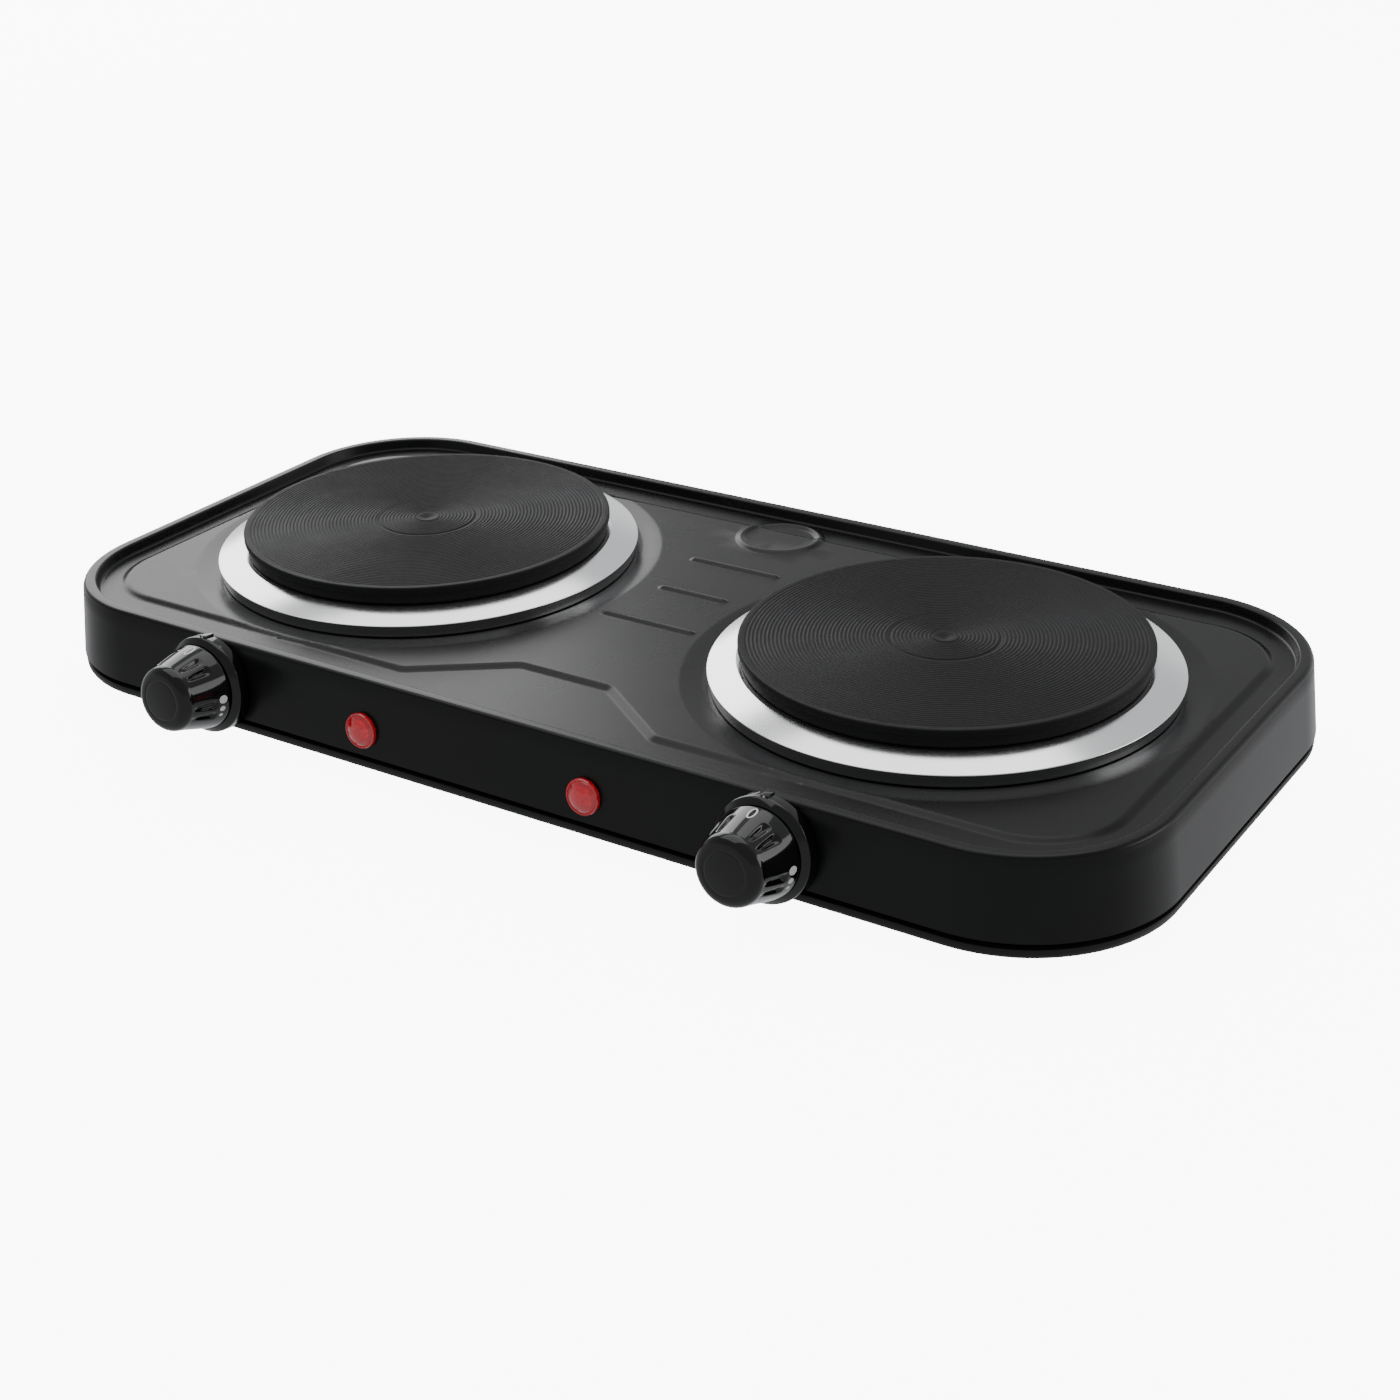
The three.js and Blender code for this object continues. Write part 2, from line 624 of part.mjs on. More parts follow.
function bezel() {
  const ring = latheRing(
    [
      [BEZEL_RADIUS - 1, -GAP],
      [BEZEL_RADIUS, -GAP - 1],
      [BEZEL_RADIUS, -BEZEL_DEPTH + 2.5],
      [BEZEL_RADIUS - 2.2, -BEZEL_DEPTH],
      [SHAFT_RADIUS + 6, -BEZEL_DEPTH],
      [SHAFT_RADIUS + 6, -BEZEL_DEPTH + 1.6],
      [BEZEL_RADIUS - 3.4, -BEZEL_DEPTH + 1.6],
      [BEZEL_RADIUS - 3.4, -GAP],
    ],
    ROUND_MEDIUM,
    "y",
  );
  const pointer = box(3, BEZEL_DEPTH - 2.5, 1.6, [0, -GAP - (BEZEL_DEPTH - 2.5) / 2, BEZEL_RADIUS]);
  return ring.add(pointer);
}

for (const [name, side] of Object.entries(SIDES)) {
  const place = controlPlace(side);
  hotPlate.add(place);
  add(`${name}_knob`, knob(), glossPlastic, place);
  add(`${name}_knob_bezel`, bezel(), glossPlastic, place);
  const shaft = cut(
    rod(SHAFT_RADIUS, -KNOB_FRONT + 4.5, FRAME_Y + 8, 20, "y"),
    box(8, 12, 4, [0, -KNOB_FRONT + 10, SHAFT_RADIUS + 0.6]),
  );
  add(`${name}_control_shaft`, shaft, plainSteel, place);

  const frameWidth = FIXING_SPACING + 12;
  const frame = cut(
    box(frameWidth, FRAME_DEPTH, FRAME_HEIGHT, [0, FRAME_Y + FRAME_DEPTH / 2, 0]),
    box(frameWidth - 2 * SHEET, FRAME_DEPTH, FRAME_HEIGHT + 2, [0, FRAME_Y + SHEET + FRAME_DEPTH / 2, 0]),
    rod(SHAFT_RADIUS + GAP, 0, FRAME_DEPTH, 16, "y"),
    rod(FIXING_SHANK + SNUG, 0, FRAME_DEPTH, 10, "y").translate([-FIXING_SPACING / 2, 0, 0]),
    rod(FIXING_SHANK + SNUG, 0, FRAME_DEPTH, 10, "y").translate([FIXING_SPACING / 2, 0, 0]),
  );
  add(`${name}_thermostat_frame`, frame, plainSteel, place);

  const stackY = FRAME_Y + FRAME_DEPTH - STACK_RADIUS - 2;
  const tall = FRAME_HEIGHT / 2 - 1;
  const waist = tall / 3;
  const stack = lathe(
    [
      [0, -tall],
      [STACK_RADIUS, -tall],
      [STACK_RADIUS, -waist - 0.5],
      [STACK_RADIUS - 1.1, -waist],
      [STACK_RADIUS - 1.1, waist],
      [STACK_RADIUS, waist + 0.5],
      [STACK_RADIUS, tall],
      [0, tall],
    ],
    16,
  );
  add(`${name}_insulator_stack`, stack.translate([STACK_X, stackY, 0]), ceramic, place);
  const stripX = STACK_X + STACK_RADIUS + GAP;
  const stripZ = tall * 0.6;
  const strip = (thick, z) => box(18, 6, thick, [stripX + 9, stackY, z]);
  const contact = rod(1.6, stripZ - 1.4, stripZ, 10).translate([stripX + 15, stackY, 0]);
  const leaf = strip(0.6, stripZ).add(contact);
  add(`${name}_contact_leaf`, leaf, brass, place);
  add(`${name}_bimetal_strip`, strip(1, -stripZ), bimetalAlloy, place);

  for (const [which, sx] of [["a", -1], ["b", 1]]) {
    const screw = lathe(
      [
        [0, -GAP - 2.2],
        [1.8, -GAP - 2.2],
        [3, -GAP - 1.4],
        [3, -GAP],
        [FIXING_SHANK, -GAP],
        [FIXING_SHANK, FRAME_Y + 4],
        [0, FRAME_Y + 4],
      ],
      12,
      "y",
    );
    add(`${name}_control_screw_${which}`, screw.translate([(sx * FIXING_SPACING) / 2, 0, 0]), plainSteel, place);
  }

  const lamp = lampPlace(side);
  hotPlate.add(lamp);
  const lens = lathe(
    [
      [0, -4.4],
      [LAMP_RADIUS * 0.45, -4.1],
      [LAMP_RADIUS * 0.8, -2.9],
      [LAMP_RADIUS, -1.3],
      [LAMP_RADIUS, -GAP],
      [LAMP_BARREL, -GAP],
      [LAMP_BARREL, 10],
      [LAMP_BARREL - 1.2, 10],
      [LAMP_BARREL - 1.2, -0.6],
      [0, -0.6],
    ],
    16,
    "y",
  );
  add(`${name}_lamp_lens`, lens, redLens, lamp);
  const bulb = lathe([[0, 0], [1.6, 0.4], [2.6, 2], [2.6, 11], [1.2, 13], [0, 13]], 12, "y");
  add(`${name}_neon_bulb`, bulb, clearGlass, lamp);
  const clip = cut(
    latheRing(
      [[LAMP_BARREL + GAP, FRAME_Y], [8.5, FRAME_Y], [8.5, FRAME_Y + 1], [LAMP_BARREL + GAP, FRAME_Y + 2]],
      16,
      "y",
    ),
    box(1.5, 6, 6, [0, FRAME_Y, 7.5]),
  );
  add(`${name}_lamp_clip`, clip, plainSteel, lamp);
}

// Supply inlet: a snap-in bush in the back wall. In its frame +y is outwards.
const gland = glandPlace();
hotPlate.add(gland);
const bushOut = GLAND_BORE + GLAND_WALL;
const bush = latheRing(
  [
    [GLAND_BORE, -SHEET - GAP - 5],
    [bushOut, -SHEET - GAP - 5],
    [bushOut + 1.6, -SHEET - GAP],
    [bushOut, -SHEET - GAP],
    [bushOut, GAP],
    [bushOut + 2.4, GAP],
    [bushOut + 2.4, GAP + 2],
    [bushOut + 0.2, GAP + 3.4],
    [bushOut - 0.6, GAP + 8.7],
    [GLAND_BORE, GAP + 8.7],
  ],
  16,
  "y",
);
add("cord_gland", bush, rubber, gland);

const [blockX, blockY, blockZ] = BLOCK_SIZE;
const POLE = 13;
const block = [-POLE, 0, POLE].reduce(
  (left, x) => cut(left, rod(2.2, PAN_FLOOR + 8, PAN_FLOOR + 30, 10).translate([x, BLOCK_Y, 0])),
  cut(
    box(blockX, blockY, blockZ, [0, BLOCK_Y, PAN_FLOOR + GAP + blockZ / 2]),
    box(1.6, blockY + 2, 8, [-POLE / 2, BLOCK_Y, PAN_FLOOR + blockZ]),
    box(1.6, blockY + 2, 8, [POLE / 2, BLOCK_Y, PAN_FLOOR + blockZ]),
  ),
);
add("terminal_block", block, ceramic);
const earthScrew = prism(hexagon(4), PAN_FLOOR + GAP, PAN_FLOOR + GAP + 3).add(
  rod(SCREW_SHANK, FOOT_HEIGHT - 2, PAN_FLOOR + 1, 12),
);
add("earth_screw", earthScrew.translate([EARTH_X, BLOCK_Y, 0]), brass);

// Leads: each runs through a list of points, and stops just short of what it is joined to.
function lead(name, points, sleeve) {
  const section = new THREE.Shape().absarc(0, 0, WIRE_RADIUS, 0, 2 * Math.PI);
  const path = new THREE.CatmullRomCurve3(points.map(([x, y, z]) => new THREE.Vector3(x, y, z)));
  const geometry = new THREE.ExtrudeGeometry(section, {
    steps: points.length * 3,
    curveSegments: 3,
    extrudePath: path,
  });
  add(name, solid(geometry), sleeve);
}

const blockFace = BLOCK_Y - blockY / 2 - WIRE_RADIUS;
const poleZ = PAN_FLOOR + GAP + 8;
const low = PAN_FLOOR + 5;
const middle = PAN_FLOOR + 10;
const terminalZ = COVER_Z - 6;
for (const [name, side] of Object.entries(SIDES)) {
  const stackX = FRONT_SHIFT + (side * CONTROL_SPACING) / 2 + STACK_X;
  const stackZ = HOUSING_EDGE + CONTROL_HEIGHT;
  const stackBack = -wallY(stackZ) + FRAME_Y + FRAME_DEPTH;
  const centre = plateX(side);
  const terminalFront = TERMINAL_Y - TERMINAL_SIZE[1] / 2 - 0.7;
  const terminalBack = TERMINAL_Y + TERMINAL_SIZE[1] / 2 + 0.7;
  lead(
    `${name}_live_lead`,
    [
      [-POLE + side * 1.5, blockFace, poleZ],
      [-POLE * 0.6 + side * 7, blockFace - 22, middle],
      [side * 22, PLATE_Y, middle],
      [centre * 0.5, -DEPTH * 0.26, middle - 2],
      [stackX, stackBack + 16, low + 3],
      [stackX, stackBack, stackZ - 6],
    ],
    liveSleeve,
  );
  lead(
    `${name}_plate_lead`,
    [
      [stackX, stackBack + 1, stackZ + 5],
      [stackX, stackBack + 14, stackZ + 4],
      [centre - 6, terminalFront - 12, terminalZ],
      [centre - 6, terminalFront, terminalZ],
    ],
    liveSleeve,
  );
  lead(
    `${name}_neutral_lead`,
    [
      [side * 1.6, blockFace, poleZ],
      [side * 14, blockFace - 13, low],
      [centre * 0.7, PLATE_Y + 30, low],
      [centre - 5, PLATE_Y, low],
      [centre - 5, terminalBack + 9, terminalZ - 4],
      [centre - 5, terminalBack, terminalZ],
    ],
    neutralSleeve,
  );
}
lead(
  "earth_lead",
  [
    [blockX / 2 + GAP + 0.2, BLOCK_Y, poleZ],
    [blockX / 2 + 8, BLOCK_Y, poleZ - 2],
    [EARTH_X - 10, BLOCK_Y, PAN_FLOOR + 2],
    [EARTH_X - 4.6, BLOCK_Y, PAN_FLOOR + 2],
  ],
  earthSleeve,
);

// The origin is the middle of the whole object's footprint, so the knobs' reach moves the body back.
const footprint = new THREE.Box3().setFromObject(hotPlate, true);
hotPlate.position.y = -(footprint.min.y + footprint.max.y) / 2;

const part = new THREE.Group();
part.add(hotPlate);
export default part;
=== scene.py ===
import math

import bmesh
import bpy
import numpy as np
from mathutils import Matrix, Vector
from mathutils.geometry import delaunay_2d_cdt


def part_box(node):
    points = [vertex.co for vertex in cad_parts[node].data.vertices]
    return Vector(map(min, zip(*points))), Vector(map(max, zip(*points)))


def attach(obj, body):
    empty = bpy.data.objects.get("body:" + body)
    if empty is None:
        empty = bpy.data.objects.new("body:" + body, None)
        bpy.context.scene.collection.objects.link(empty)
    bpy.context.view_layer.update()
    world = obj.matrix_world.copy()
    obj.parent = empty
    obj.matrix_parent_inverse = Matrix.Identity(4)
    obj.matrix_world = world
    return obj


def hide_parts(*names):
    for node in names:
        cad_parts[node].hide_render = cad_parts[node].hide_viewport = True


# Electric double hot plate. Metres, +Z up; the controls face -Y and the feet stand on z = 0.
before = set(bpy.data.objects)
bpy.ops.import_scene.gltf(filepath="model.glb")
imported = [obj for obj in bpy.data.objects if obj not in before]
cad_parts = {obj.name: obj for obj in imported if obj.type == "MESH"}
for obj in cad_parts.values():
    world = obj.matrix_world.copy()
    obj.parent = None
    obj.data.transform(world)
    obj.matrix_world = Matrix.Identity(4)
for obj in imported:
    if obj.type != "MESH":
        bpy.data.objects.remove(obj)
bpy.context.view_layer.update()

# ---- Camera ----
# A view from the front right and above, through a lens a little longer than normal, on a point at the rim's
# height in front of the right plate.
housing_low, housing_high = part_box("top_housing")
BODY_Y = (housing_low.y + housing_high.y) / 2
RIM_TOP = housing_high.z
VIEW_AZIMUTH = math.radians(33.83)
VIEW_ELEVATION = math.radians(26.21)
VIEW_ROLL = math.radians(-1.743)
VIEW_DISTANCE = 0.827
VIEW_LENS = 58.24
SENSOR_WIDTH = 36
LOOK_RIGHT = 0.0599
LOOK_FORWARD = 0.0668


def in_scene(name, data):
    """A new object at the origin, linked into the scene."""
    made = bpy.data.objects.new(name, data)
    bpy.context.scene.collection.objects.link(made)
    return made


look_at = Vector((LOOK_RIGHT, BODY_Y - LOOK_FORWARD, RIM_TOP))
outward = Vector((
    math.sin(VIEW_AZIMUTH) * math.cos(VIEW_ELEVATION),
    -math.cos(VIEW_AZIMUTH) * math.cos(VIEW_ELEVATION),
    math.sin(VIEW_ELEVATION),
))
camera_data = bpy.data.cameras.new("camera")
camera_data.lens = VIEW_LENS
camera_data.sensor_width = SENSOR_WIDTH
camera = in_scene("camera", camera_data)
aim = outward.to_track_quat("Z", "Y").to_matrix() @ Matrix.Rotation(VIEW_ROLL, 3, "Z")
camera.rotation_euler = aim.to_euler()
camera.location = look_at + outward * VIEW_DISTANCE
bpy.context.scene.camera = camera


# ---- Floor and light ----
# A plain pale floor that glows white without lighting the appliance, and three soft boxes: overhead, behind
# to the left and behind to the right. The world is lightest low down and behind, for edges that turn away.
FLOOR_REACH = 12.0
FLOOR_GLOW = 9
LIGHT_TARGET = Vector((0, 0, 0.04))
# Name, place, width and depth, watts.
SOFT_BOXES = [
    ("overhead_box", (-0.35, 0.2, 1.7), (2.2, 1.5), 18),
    ("left_box", (-1.75, 1.1, 1.0), (1.5, 1.3), 20),
    ("right_box", (1.9, 0.9, 0.7), (1.2, 0.9), 10),
]
WORLD_COLOUR = (0.97, 0.98, 1, 1)
# The world's strength is a factor by a direction's Y times one by its Z: from these values, to these.
FRONT_TO_BACK = (-0.1, 0.6), (0.6, 0.95)
LOW_TO_HIGH = (0.15, 0.4), (1.1, 0.72)


def nodes_of(material):
    material.use_nodes = True
    tree = material.node_tree
    return tree, tree.nodes["Principled BSDF"]


def set_inputs(node, **values):
    """Sets a node's sockets by name; an underscore stands for a space."""
    for socket, value in values.items():
        node.inputs[socket.replace("_", " ")].default_value = value


def ramp(tree, value, source, target, kind="SMOOTHSTEP"):
    """A value carried from one range to another, and held at its ends."""
    node = tree.nodes.new("ShaderNodeMapRange")
    node.interpolation_type = kind
    set_inputs(node, From_Min=source[0], From_Max=source[1], To_Min=target[0], To_Max=target[1])
    tree.links.new(value, node.inputs["Value"])
    return node.outputs["Result"]


def axes_of(tree, vector):
    split = tree.nodes.new("ShaderNodeSeparateXYZ")
    tree.links.new(vector, split.inputs[0])
    return split.outputs


def pale_floor():
    material = bpy.data.materials.new("studio_floor")
    _, shader = nodes_of(material)
    set_inputs(shader, Base_Color=(0.9, 0.9, 0.9, 1), Roughness=0.8, Specular_IOR_Level=0.2)
    set_inputs(shader, Emission_Color=(1, 1, 1, 1), Emission_Strength=FLOOR_GLOW)
    mesh = bpy.data.meshes.new("floor")
    reach = FLOOR_REACH
    corners = [(-reach, -reach, 0), (reach, -reach, 0), (reach, reach, 0), (-reach, reach, 0)]
    mesh.from_pydata(corners, [], [(0, 1, 2, 3)])
    mesh.materials.append(material)
    floor = in_scene("floor", mesh)
    floor.visible_glossy = False
    floor.visible_diffuse = False


def soft_box(name, place, size, power):
    data = bpy.data.lights.new(name, "AREA")
    data.shape = "RECTANGLE"
    data.size, data.size_y = size
    data.energy = power
    light = in_scene(name, data)
    light.location = place
    light.rotation_euler = (Vector(place) - LIGHT_TARGET).to_track_quat("Z", "Y").to_euler()


pale_floor()
for soft_box_settings in SOFT_BOXES:
    soft_box(*soft_box_settings)
world = bpy.data.worlds.new("studio")
world.use_nodes = True
sky = world.node_tree
_, to_back, upwards = axes_of(sky, sky.nodes.new("ShaderNodeTexCoord").outputs["Generated"])
product = sky.nodes.new("ShaderNodeMath")
product.operation = "MULTIPLY"
sky.links.new(ramp(sky, to_back, *FRONT_TO_BACK), product.inputs[0])
sky.links.new(ramp(sky, upwards, *LOW_TO_HIGH), product.inputs[1])
sky.links.new(product.outputs[0], sky.nodes["Background"].inputs["Strength"])
set_inputs(sky.nodes["Background"], Color=WORLD_COLOUR)
bpy.context.scene.world = world

# ---- Top housing ----
# One deep-drawn shell of 1 mm sheet steel, stove-enamelled black: leaning wall, raised rim, gutter, and a
# deck pressed up a little inside its border, with two wells, three bars and a ring pressed into it. Round
# holes are punched in its walls for the controls, their screws, the lamps and the cord's bush.
MM = 0.001
SHEET = 1.0 * MM
FLARE = 3.5 * MM
RIM_HALF_X = (housing_high.x - housing_low.x) / 2 - FLARE
RIM_HALF_Y = (housing_high.y - housing_low.y) / 2 - FLARE
RIM_CORNER = 55.3 * MM
HOUSING_EDGE = housing_low.z
GUTTER_Z = RIM_TOP - 4.5 * MM
DECK_RISE = 1.3 * MM
WELL_Z = RIM_TOP - 4.2 * MM
left_low, left_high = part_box("left_plate")
right_low, right_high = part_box("right_plate")
PLATE_RADIUS = (left_high.x - left_low.x) / 2
PLATE_Y = (left_low.y + left_high.y) / 2
PLATE_X = {"left": (left_low.x + left_high.x) / 2, "right": (right_low.x + right_high.x) / 2}
trim_low, trim_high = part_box("left_trim_ring")
TRIM_RADIUS = (trim_high.x - trim_low.x) / 2
WELL_RADIUS = TRIM_RADIUS + 1.8 * MM
WELL_BEVEL = 8.5 * MM
OPENING_RADIUS = TRIM_RADIUS - 6 * MM
BORDER_HALF_X = RIM_HALF_X - 16 * MM
BORDER_HALF_Y = RIM_HALF_Y - 21 * MM
BORDER_CORNER = 32 * MM
BORDER_STEP = 3.8 * MM
NOTCH_BASE = 58 * MM
NOTCH_TOP = 20.5 * MM
NOTCH_DEPTH = 26 * MM
NOTCH_FILLET = 7 * MM
# Each bar's middle along x and y, and its length, in millimetres.
BARS = [(0.5, -13.7, 45), (0.75, 18.7, 33.5), (1, 50, 44)]
BAR_HALF_WIDTH = 2.5 * MM
RING_Y = RIM_HALF_Y - 27.5 * MM
RING_RADIUS = 17 * MM
RING_HALF_WIDTH = 2.7 * MM
EMBOSS = 1.0 * MM
ROUND_STEPS = 240
GUTTER_INSET = 9 * MM
GUTTER_CORNER = 46 * MM
CONTROL_HOLE = 5 * MM
CONTROL_SCREW_HOLE = 2 * MM
CONTROL_SCREW_OFFSET = 11 * MM
LAMP_HOLE = 5.7 * MM
BUSH_HOLE = 7.05 * MM
CUTTER_LENGTH = 8 * MM


def smooth(piece, angle):
    """Shades a piece smooth, apart from edges sharper than an angle in degrees."""
    piece.data.shade_smooth()
    piece.data.set_sharp_from_angle(angle=math.radians(angle))


def make_object(name, vertices, faces, material, smooth_angle=None):
    """A mesh object at the origin, with its doubles merged and its faces turned outwards."""
    mesh = bpy.data.meshes.new(name)
    mesh.from_pydata([tuple(v) for v in vertices], [], [tuple(f) for f in faces])
    work = bmesh.new()
    work.from_mesh(mesh)
    bmesh.ops.remove_doubles(work, verts=work.verts, dist=2e-6)
    bmesh.ops.dissolve_degenerate(work, edges=work.edges, dist=1e-7)
    bmesh.ops.recalc_face_normals(work, faces=work.faces)
    work.to_mesh(mesh)
    work.free()
    mesh.materials.append(material)
    piece = in_scene(name, mesh)
    mesh.shade_smooth()
    if smooth_angle is not None:
        smooth(piece, smooth_angle)
    return piece


def rounded_outline(half_x, half_y, corner, steps=28):
    points = []
    for quarter in range(4):
        sx = 1 if quarter in (0, 3) else -1
        sy = 1 if quarter < 2 else -1
        for i in range(steps + 1):
            turn = (quarter + i / steps) * math.pi / 2
            points.append((
                sx * (half_x - corner) + corner * math.cos(turn),
                sy * (half_y - corner) + corner * math.sin(turn),
            ))
    return points


def inset_ring(inset, z):
    outline = rounded_outline(RIM_HALF_X - inset, RIM_HALF_Y - inset, RIM_CORNER - inset)
    return [(x, y + BODY_Y, z) for x, y in outline]


def arc(centre, radius, start, end, steps):
    """Points of an arc in the plane of inset and height, from one angle in degrees to another."""
    turns = np.radians(np.linspace(start, end, steps + 1))
    return [(centre[0] + radius * math.cos(t), centre[1] + radius * math.sin(t)) for t in turns]


def skin(rings):
    """Quads between successive rings of equally many points."""
    count = len(rings[0])
    vertices = [p for ring in rings for p in ring]
    faces = []
    for k in range(len(rings) - 1):
        for i in range(count):
            a, b = k * count + i, k * count + (i + 1) % count
            faces.append((a, b, b + count, a + count))
    return vertices, faces


def smooth_step(t):
    t = np.clip(t, 0, 1)
    return t * t * (3 - 2 * t)


def border_corners():
    """Corners of the deck's border and their fillets: four wide ones and the front notch's four."""
    x, y = BORDER_HALF_X, BORDER_HALF_Y
    wide = [(x, -y), (x, y), (-x, y), (-x, -y)]
    deep = -y + NOTCH_DEPTH
    notch = [(-NOTCH_BASE, -y), (-NOTCH_TOP, deep), (NOTCH_TOP, deep), (NOTCH_BASE, -y)]
    return [(corner, BORDER_CORNER) for corner in wide] + [(corner, NOTCH_FILLET) for corner in notch]


def filleted_path(corners, pitch=3 * MM):
    """Points and outward normals along a closed outline whose corners are rounded."""
    path = []
    count = len(corners)
    for i, (corner, radius) in enumerate(corners):
        p = np.array(corner)
        before = np.array(corners[i - 1][0]) - p
        after = np.array(corners[(i + 1) % count][0]) - p
        before /= np.linalg.norm(before)
        after /= np.linalg.norm(after)
        half = math.acos(np.clip(np.dot(before, after), -1, 1)) / 2
        middle = (before + after) / np.linalg.norm(before + after)
        centre = p + middle * radius / math.sin(half)
        start = p + before * radius / math.tan(half) - centre
        sweep = math.pi - 2 * half
        turn = 1 if before[0] * after[1] - before[1] * after[0] < 0 else -1
        steps = max(6, int(sweep * radius / (1.2 * MM)))
        for k in range(steps + 1):
            angle = turn * sweep * k / steps
            c, s = math.cos(angle), math.sin(angle)
            spoke = np.array([c * start[0] - s * start[1], s * start[0] + c * start[1]])
            path.append((centre + spoke, spoke / radius * turn))
    filled = []
    for i, (p, n) in enumerate(path):
        q, _ = path[(i + 1) % len(path)]
        steps = max(1, int(np.linalg.norm(q - p) / pitch))
        filled += [(p + (q - p) * k / steps, n) for k in range(steps)]
    return np.array([p for p, _ in filled]), np.array([n for _, n in filled])


BORDER_POINTS, BORDER_NORMALS = filleted_path(border_corners())


def border_distance(xy):
    """Signed distance to the deck's border, positive outside it."""
    best = np.full(len(xy), np.inf)
    side = np.zeros(len(xy))
    ends = np.roll(BORDER_POINTS, -1, axis=0)
    for p, q in zip(BORDER_POINTS, ends):
        along = q - p
        length = np.dot(along, along)
        t = np.clip(((xy - p) @ along) / max(length, 1e-18), 0, 1)
        offset = xy - (p + t[:, None] * along)
        distance = np.einsum("ij,ij->i", offset, offset)
        closer = distance < best
        best[closer] = distance[closer]
        outer = np.array([along[1], -along[0]])
        side[closer] = (offset @ outer)[closer]
    return np.sqrt(best) * np.sign(side)


def deck_height(xy):
    """Height of the pressed deck at points given from the housing's middle."""
    z = GUTTER_Z + DECK_RISE * smooth_step(0.5 - border_distance(xy) / BORDER_STEP)
    for x, y, length in BARS:
        half = length * MM / 2 - BAR_HALF_WIDTH
        dx = np.abs(xy[:, 0] - x * MM) - half
        away = np.hypot(np.maximum(dx, 0), xy[:, 1] - y * MM)
        z = z + EMBOSS * smooth_step(1 - away / BAR_HALF_WIDTH)
    ring = np.abs(np.hypot(xy[:, 0], xy[:, 1] - RING_Y) - RING_RADIUS)
    z = z + EMBOSS * smooth_step(1 - ring / RING_HALF_WIDTH)
    for x in PLATE_X.values():
        r = np.hypot(xy[:, 0] - x, xy[:, 1] - (PLATE_Y - BODY_Y))
        bevel = np.clip((r - WELL_RADIUS) / WELL_BEVEL, 0, 1)
        bevel = 0.75 * bevel + 0.25 * smooth_step(bevel)
        z = np.where(r < WELL_RADIUS + WELL_BEVEL, WELL_Z + (z - WELL_Z) * bevel, z)
    return z


def circle(x, y, radius, count):
    turns = np.arange(count) * 2 * math.pi / count
    return np.stack([x + radius * np.cos(turns), y + radius * np.sin(turns)], axis=1)


def deck_points():
    """Points of the deck, thick along every pressed line and sparse on the flats."""
    points = []
    for offset in (-2.7, -2.1, -1.7, -1.2, -0.6, 0, 0.6, 1.2, 1.7, 2.1, 2.7):
        points.append(BORDER_POINTS + BORDER_NORMALS * offset * MM)
    for x, y, length in BARS:
        half = length * MM / 2 - BAR_HALF_WIDTH
        for away in np.array([0.25, 0.7, 1.2, 1.7, 2.2, 2.5, 3.2]) * MM:
            for sx in (-1, 1):
                turns = np.linspace(-math.pi / 2, math.pi / 2, 13)
                ends = np.stack([sx * (half + away * np.cos(turns)), away * np.sin(turns)], axis=1)
                points.append(ends + np.array([x, y]) * MM)
            runs = np.linspace(-half, half, 16)[1:-1]
            for sy in (-1, 1):
                points.append(np.stack([runs, np.full(14, sy * away)], axis=1) + np.array([x, y]) * MM)
    for away in np.linspace(-1, 1, 11) * RING_HALF_WIDTH:
        points.append(circle(0, RING_Y, RING_RADIUS + away, 96))
    for x in PLATE_X.values():
        for step in (-0.06, 0, 0.08, 0.2, 0.35, 0.5, 0.65, 0.8, 0.92, 1, 1.06):
            points.append(circle(x, PLATE_Y - BODY_Y, WELL_RADIUS + step * WELL_BEVEL, ROUND_STEPS))
    spread_x = np.arange(-22, 23) * 10.3 * MM
    spread_y = np.arange(-10, 11) * 10.7 * MM
    spread = np.array([(x, y) for x in spread_x for y in spread_y])
    points.append(spread[np.abs(border_distance(spread)) > 5 * MM])
    return np.concatenate(points)


def noise(tree, place, scale, detail):
    node = tree.nodes.new("ShaderNodeTexNoise")
    set_inputs(node, Scale=scale, Detail=detail)
    tree.links.new(place, node.inputs["Vector"])
    return node.outputs["Fac"]


def tint_base(tree, shader, amount, dark, light):
    """Gives a shader a base colour that wanders between two."""
    tint = tree.nodes.new("ShaderNodeMix")
    tint.data_type = "RGBA"
    tint.inputs[6].default_value = (*dark, 1)
    tint.inputs[7].default_value = (*light, 1)
    tree.links.new(amount, tint.inputs[0])
    tree.links.new(tint.outputs[2], shader.inputs["Base Color"])


def bump_up(tree, shader, height, strength, distance):
    bump = tree.nodes.new("ShaderNodeBump")
    set_inputs(bump, Strength=strength, Distance=distance)
    tree.links.new(height, bump.inputs["Height"])
    tree.links.new(bump.outputs["Normal"], shader.inputs["Normal"])


def new_material(name):
    material = bpy.data.materials.new(name)
    tree, shader = nodes_of(material)
    return material, tree, shader, tree.nodes.new("ShaderNodeTexCoord").outputs["Object"]


def enamel(name, colour, roughness, grain, grain_height):
    """Stove enamel: a dark coat with a fine orange peel and a faint unevenness in its gloss."""
    material, tree, shader, place = new_material(name)
    cloud = noise(tree, place, 14, 4)
    tint_base(tree, shader, cloud, [c * 0.88 for c in colour], [c * 1.15 for c in colour])
    gloss = ramp(tree, cloud, (0.3, 0.7), (roughness * 0.92, roughness * 1.1), "LINEAR")
    tree.links.new(gloss, shader.inputs["Roughness"])
    bump_up(tree, shader, noise(tree, place, grain, 3), 0.35, grain_height)
    set_inputs(shader, Specular_IOR_Level=0.19)
    return material


